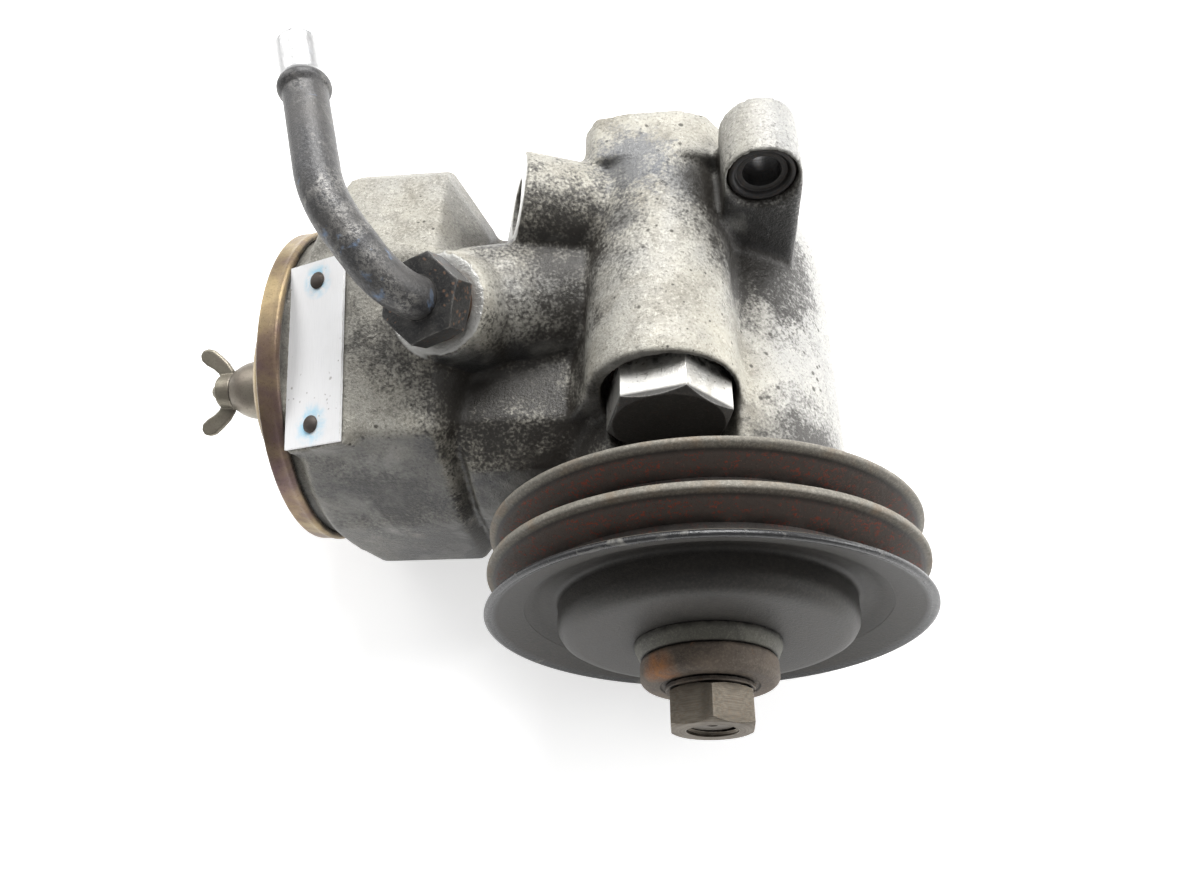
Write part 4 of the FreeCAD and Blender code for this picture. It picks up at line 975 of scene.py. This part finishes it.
def return_line():
    """The union nut and the bent pipe with its blended bead."""
    stands_for(eased("return_union_nut", "black_union_nut", 0.35), "housing", "union_steel",
               "return_union_nut")
    pipe = copied("return_pipe", "bent_pipe")
    modified(pipe, "REMESH", mode="VOXEL", voxel_size=0.00042, adaptivity=0.0)
    modified(pipe, "SMOOTH", factor=0.5, iterations=6)
    pick(pipe)
    bpy.ops.object.shade_smooth()
    stands_for(pipe, "housing", "pipe_steel", "return_pipe")


# ---- plate --------------------------------------------------------------------------------------
def plate():
    """The blank flat plate and its two domed rivets."""
    stands_for(eased("rating_plate", "blank_plate", 0.22, 2), "housing", "plate_metal", "rating_plate")
    heads = []
    for side in (-1, 1):
        foot = PLATE_CENTRE + PLATE_ALONG * (RIVET_REACH * side)
        heads.append(lathe(f"rivet_{side}", [(0, -5.4), (1.38, -5.4), (1.38, 0.44), (2.6, 0.44, 0.25),
                                             (2.5, 0.9, 0.3), (1.7, 1.55, 0.5), (0.8, 1.8, 0.3), (0, 1.8)],
                           foot, PLATE_NORMAL, 48))
    stands_for(merged(heads, "plate_rivet_pair"), "housing", "rivet_metal", "rating_plate_rivets")


# ---- lid ------------------------------------------------------------------------------------------
def lid():
    """The pressed lid with its stepped dome and rolled rim, and the domed collar."""
    back = -lid_high.x / MM
    face = back + 7.0 - 1.3
    top = -lid_low.x / MM - 1.3
    s = 1.3
    outline = [(3.3, top), (20.0, top), (29.0, top, 4.5), (32.5, face + 4.0, 2.0), (35.5, face, 2.0),
               (44.5, face, 1.0), (45.3, face - 0.5, 0.8), (47.0, face - 0.5, 0.8),
               (49.72, face - 0.1, 0.5), (49.72, back, 0.3), (51.0, back, 0.6), (51.7, back + 1.2, 0.9),
               (51.2, back + 2.6, 0.7), (51.1, face - 0.6, 0.5), (51.1, face + s, 1.9),
               (47.2, face + s - 0.3, 0.8), (45.6, face + s, 0.8), (35.9, face + s, 2.0),
               (33.4, face + 4.6, 2.0), (30.0, top + s, 5.0), (20.0, top + s), (3.3, top + s)]
    stands_for(lathe("pressed_lid", outline, LID_CENTRE, TO_LID, 180), "lid", "zinc_lid", "reservoir_lid")
    low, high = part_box("lid_collar")
    foot, tip = -high.x / MM, -low.x / MM
    outline = [(3.35, foot), (10.0, foot, 0.3), (10.0, tip - 6.5, 2.5), (8.7, tip - 3.0, 2.0),
               (6.6, tip, 1.0), (3.35, tip, 0.2)]
    stands_for(lathe("domed_collar", outline, LID_CENTRE, TO_LID, 96), "lid", "zinc_nut", "lid_collar")


def wing_nut():
    """A hot-pressed wing nut: a hub and two leaning ears that run into it."""
    start = -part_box("wing_nut")[1].x / MM
    half = 15.1
    hub = lathe("wing_hub", [(3.25, start + 0.1), (6.2, start + 0.1, 0.4), (5.6, start + 5.6, 0.8),
                             (3.25, start + 5.6, 0.3)], LID_CENTRE, TO_LID, 64)
    parts = [hub]
    wing = [(4.4, 0.8), (7.0, 0.7), (10.0, 2.6), (12.6, 5.2), (14.6, 7.6), (half, 9.6), (14.6, 11.6),
            (12.9, 12.5), (10.9, 12.2), (9.2, 10.4), (7.8, 8.0), (6.2, 6.2), (4.4, 5.4)]
    for side in (0, math.pi):
        piece = slab("wing", [(x, start + y) for x, y in wing], 2.3, LID_CENTRE, TO_LID,
                     math.radians(WING_TURN) + side)
        modified(piece, "BEVEL", width=0.0007, segments=3, limit_method="ANGLE",
                 angle_limit=math.radians(40))
        parts.append(piece)
    whole = merged(parts, "pressed_wing_nut")
    modified(whole, "REMESH", mode="VOXEL", voxel_size=0.00028, adaptivity=0.0)
    modified(whole, "SMOOTH", factor=0.5, iterations=7)
    pick(whole)
    bpy.ops.object.shade_smooth()
    stands_for(whole, "wing_nut", "zinc_nut", "wing_nut")


def stud_and_filter():
    """The stud with its rolled thread, and the pleated filter under the lid."""
    low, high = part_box("lid_stud")
    root, tip = -high.x / MM, -low.x / MM
    core = lathe("threaded_stud", [(0, root), (2.98, root), (2.98, tip - 26), (2.55, tip - 25),
                                   (2.55, tip - 0.9, 0.2), (1.9, tip, 0.2), (0, tip)], LID_CENTRE, TO_LID,
                 64)
    ridge = thread_ridge("stud_thread", 2.45, 2.98, 1.0, tip - 24.5, tip - 1.6, LID_CENTRE, TO_LID)
    stands_for(merged([core, ridge], "threaded_stud"), "housing", "zinc_nut", "lid_stud")
    low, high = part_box("filter_element")
    start, end = -high.x / MM, -low.x / MM
    pleats = 46
    bpy.ops.mesh.primitive_circle_add(vertices=2 * pleats, radius=0.0298, location=(0, 0, start * MM))
    paper = bpy.context.object
    paper.name = "pleated_filter"
    edit(paper)
    shape = bmesh.from_edit_mesh(paper.data)
    for vertex in shape.verts:
        turn = math.atan2(vertex.co.y, vertex.co.x) / (math.pi / pleats)
        vertex.select_set(round(turn) % 2 == 0)
    shape.select_flush_mode()
    bmesh.update_edit_mesh(paper.data)
    bpy.ops.transform.resize(value=(0.45, 0.45, 1.0), center_override=(0, 0, start * MM))
    bpy.ops.mesh.select_all(action="SELECT")
    bpy.ops.mesh.extrude_region_move(TRANSFORM_OT_translate={"value": (0, 0, (end - start) * MM)})
    done(paper)
    outward(paper)
    modified(paper, "SOLIDIFY", thickness=0.00045, offset=0.0)
    modified(paper, "BEVEL", width=0.00012, segments=2, limit_method="ANGLE", angle_limit=math.radians(30))
    stood(paper, LID_CENTRE, TO_LID)
    smooth(paper)
    rims = []
    for place in (start, end - 1.6):
        rims.append(lathe("filter_rim", [(12.2, place), (29.8, place, 0.4), (29.8, place + 1.6, 0.4),
                                         (12.2, place + 1.6)], LID_CENTRE, TO_LID, 96))
    stands_for(merged([paper] + rims, "pleated_filter"), "housing", "filter_paper", "filter_element")


def valve_spring():
    """The flow valve's spring: a wire circle wound by a screw."""
    low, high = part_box("valve_spring")
    length = (high.y - low.y) / MM
    wire = 0.8
    turns = 9
    bpy.ops.mesh.primitive_circle_add(vertices=14, radius=wire * MM, location=(0.0066, 0, wire * MM),
                                      rotation=(math.pi / 2, 0, 0))
    piece = bpy.context.object
    piece.name = "wound_valve_spring"
    done(piece)
    modified(piece, "SCREW", axis="Z", angle=2 * math.pi, screw_offset=(length - 2 * wire) / turns * MM,
             iterations=turns, steps=48, render_steps=48)
    edit(piece)
    bpy.ops.mesh.select_non_manifold()
    bpy.ops.mesh.fill()
    bpy.ops.object.mode_set(mode="OBJECT")
    outward(piece)
    stood(piece, VALVE_CENTRE + Vector((0, low.y / MM, 0)), SHAFT)
    smooth(piece, 50)
    stands_for(piece, "housing", "spring_steel", "valve_spring")
    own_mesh(piece)


# ---- studio -------------------------------------------------------------------------------------------
FLOOR_HEIGHT = -64.3
FLOOR_RISE_BACK = 0.141
FLOOR_RISE_RIGHT = -0.0133


def floor():
    """A pale floor through the points that the pump rests on."""
    up = Vector((-FLOOR_RISE_RIGHT, -FLOOR_RISE_BACK, 1)).normalized()
    base = Vector((0, 0, FLOOR_HEIGHT)) * MM
    bpy.ops.mesh.primitive_plane_add(size=30.0, location=(0, 0, 0))
    sheet = bpy.context.object
    sheet.name = "studio_floor"
    sheet.rotation_euler = Vector((0, 0, 1)).rotation_difference(up).to_euler()
    sheet.location = base
    done(sheet)
    coat = Coat("studio_floor", (0.93, 0.93, 0.93), 0.7, 0.0)
    coat.shader.inputs["Emission Color"].default_value = (1.0, 1.0, 1.0, 1)
    coat.shader.inputs["Emission Strength"].default_value = 0.55
    coat.over("blotch", (0.915, 0.915, 0.91), 0.72, Scale=3.0, Cover=0.5, Softness=0.3)
    sheet.data.materials.append(coat.finished())


def area_light(name, place, aim, size, power):
    """A soft panel that looks at a point."""
    data = bpy.data.lights.new(name, "AREA")
    data.shape = "SQUARE"
    data.size = size
    data.energy = power
    lamp = bpy.data.objects.new(name, data)
    lamp.location = place
    lamp.rotation_euler = (Vector(aim) - Vector(place)).to_track_quat("-Z", "Y").to_euler()
    bpy.context.scene.collection.objects.link(lamp)


def studio():
    """Bright white surroundings and three soft panels."""
    world = bpy.data.worlds.new("white_room")
    bpy.context.scene.world = world
    world.use_nodes = True
    sky = world.node_tree.nodes["Background"]
    sky.inputs["Color"].default_value = (1.0, 1.0, 1.0, 1)
    sky.inputs["Strength"].default_value = 0.36
    middle = (-0.04, 0.05, 0.0)
    area_light("over", (0.12, 0.60, 0.95), middle, 0.6, 18.0)
    area_light("right", (0.9, 0.15, 0.35), middle, 0.4, 6.0)
    area_light("left", (-0.7, 0.5, 0.6), middle, 0.5, 3.0)
    bpy.context.scene.view_settings.view_transform = "Standard"


def camera():
    """The viewpoint: high, in front of the pulley."""
    data = bpy.data.cameras.new("viewpoint")
    data.sensor_width = 36.0
    data.lens = 27.0
    data.clip_start = 0.01
    data.clip_end = 20.0
    eye = bpy.data.objects.new("viewpoint", data)
    right = Vector((0.99602, 0.00729, -0.08883))
    up = Vector((0.03869, 0.86249, 0.50460))
    away = -Vector((-0.08029, 0.50603, -0.85876))
    turn = Matrix((right, up, away)).transposed().to_4x4()
    place = Vector((-0.0076, -0.0954, 0.2464))
    eye.matrix_world = Matrix.Translation(place) @ turn
    bpy.context.scene.collection.objects.link(eye)
    bpy.context.scene.camera = eye


dress_nodes()
casting()
pulley()
shaft_end()
plug()
bush()
return_line()
plate()
lid()
wing_nut()
stud_and_filter()
valve_spring()
floor()
studio()
camera()
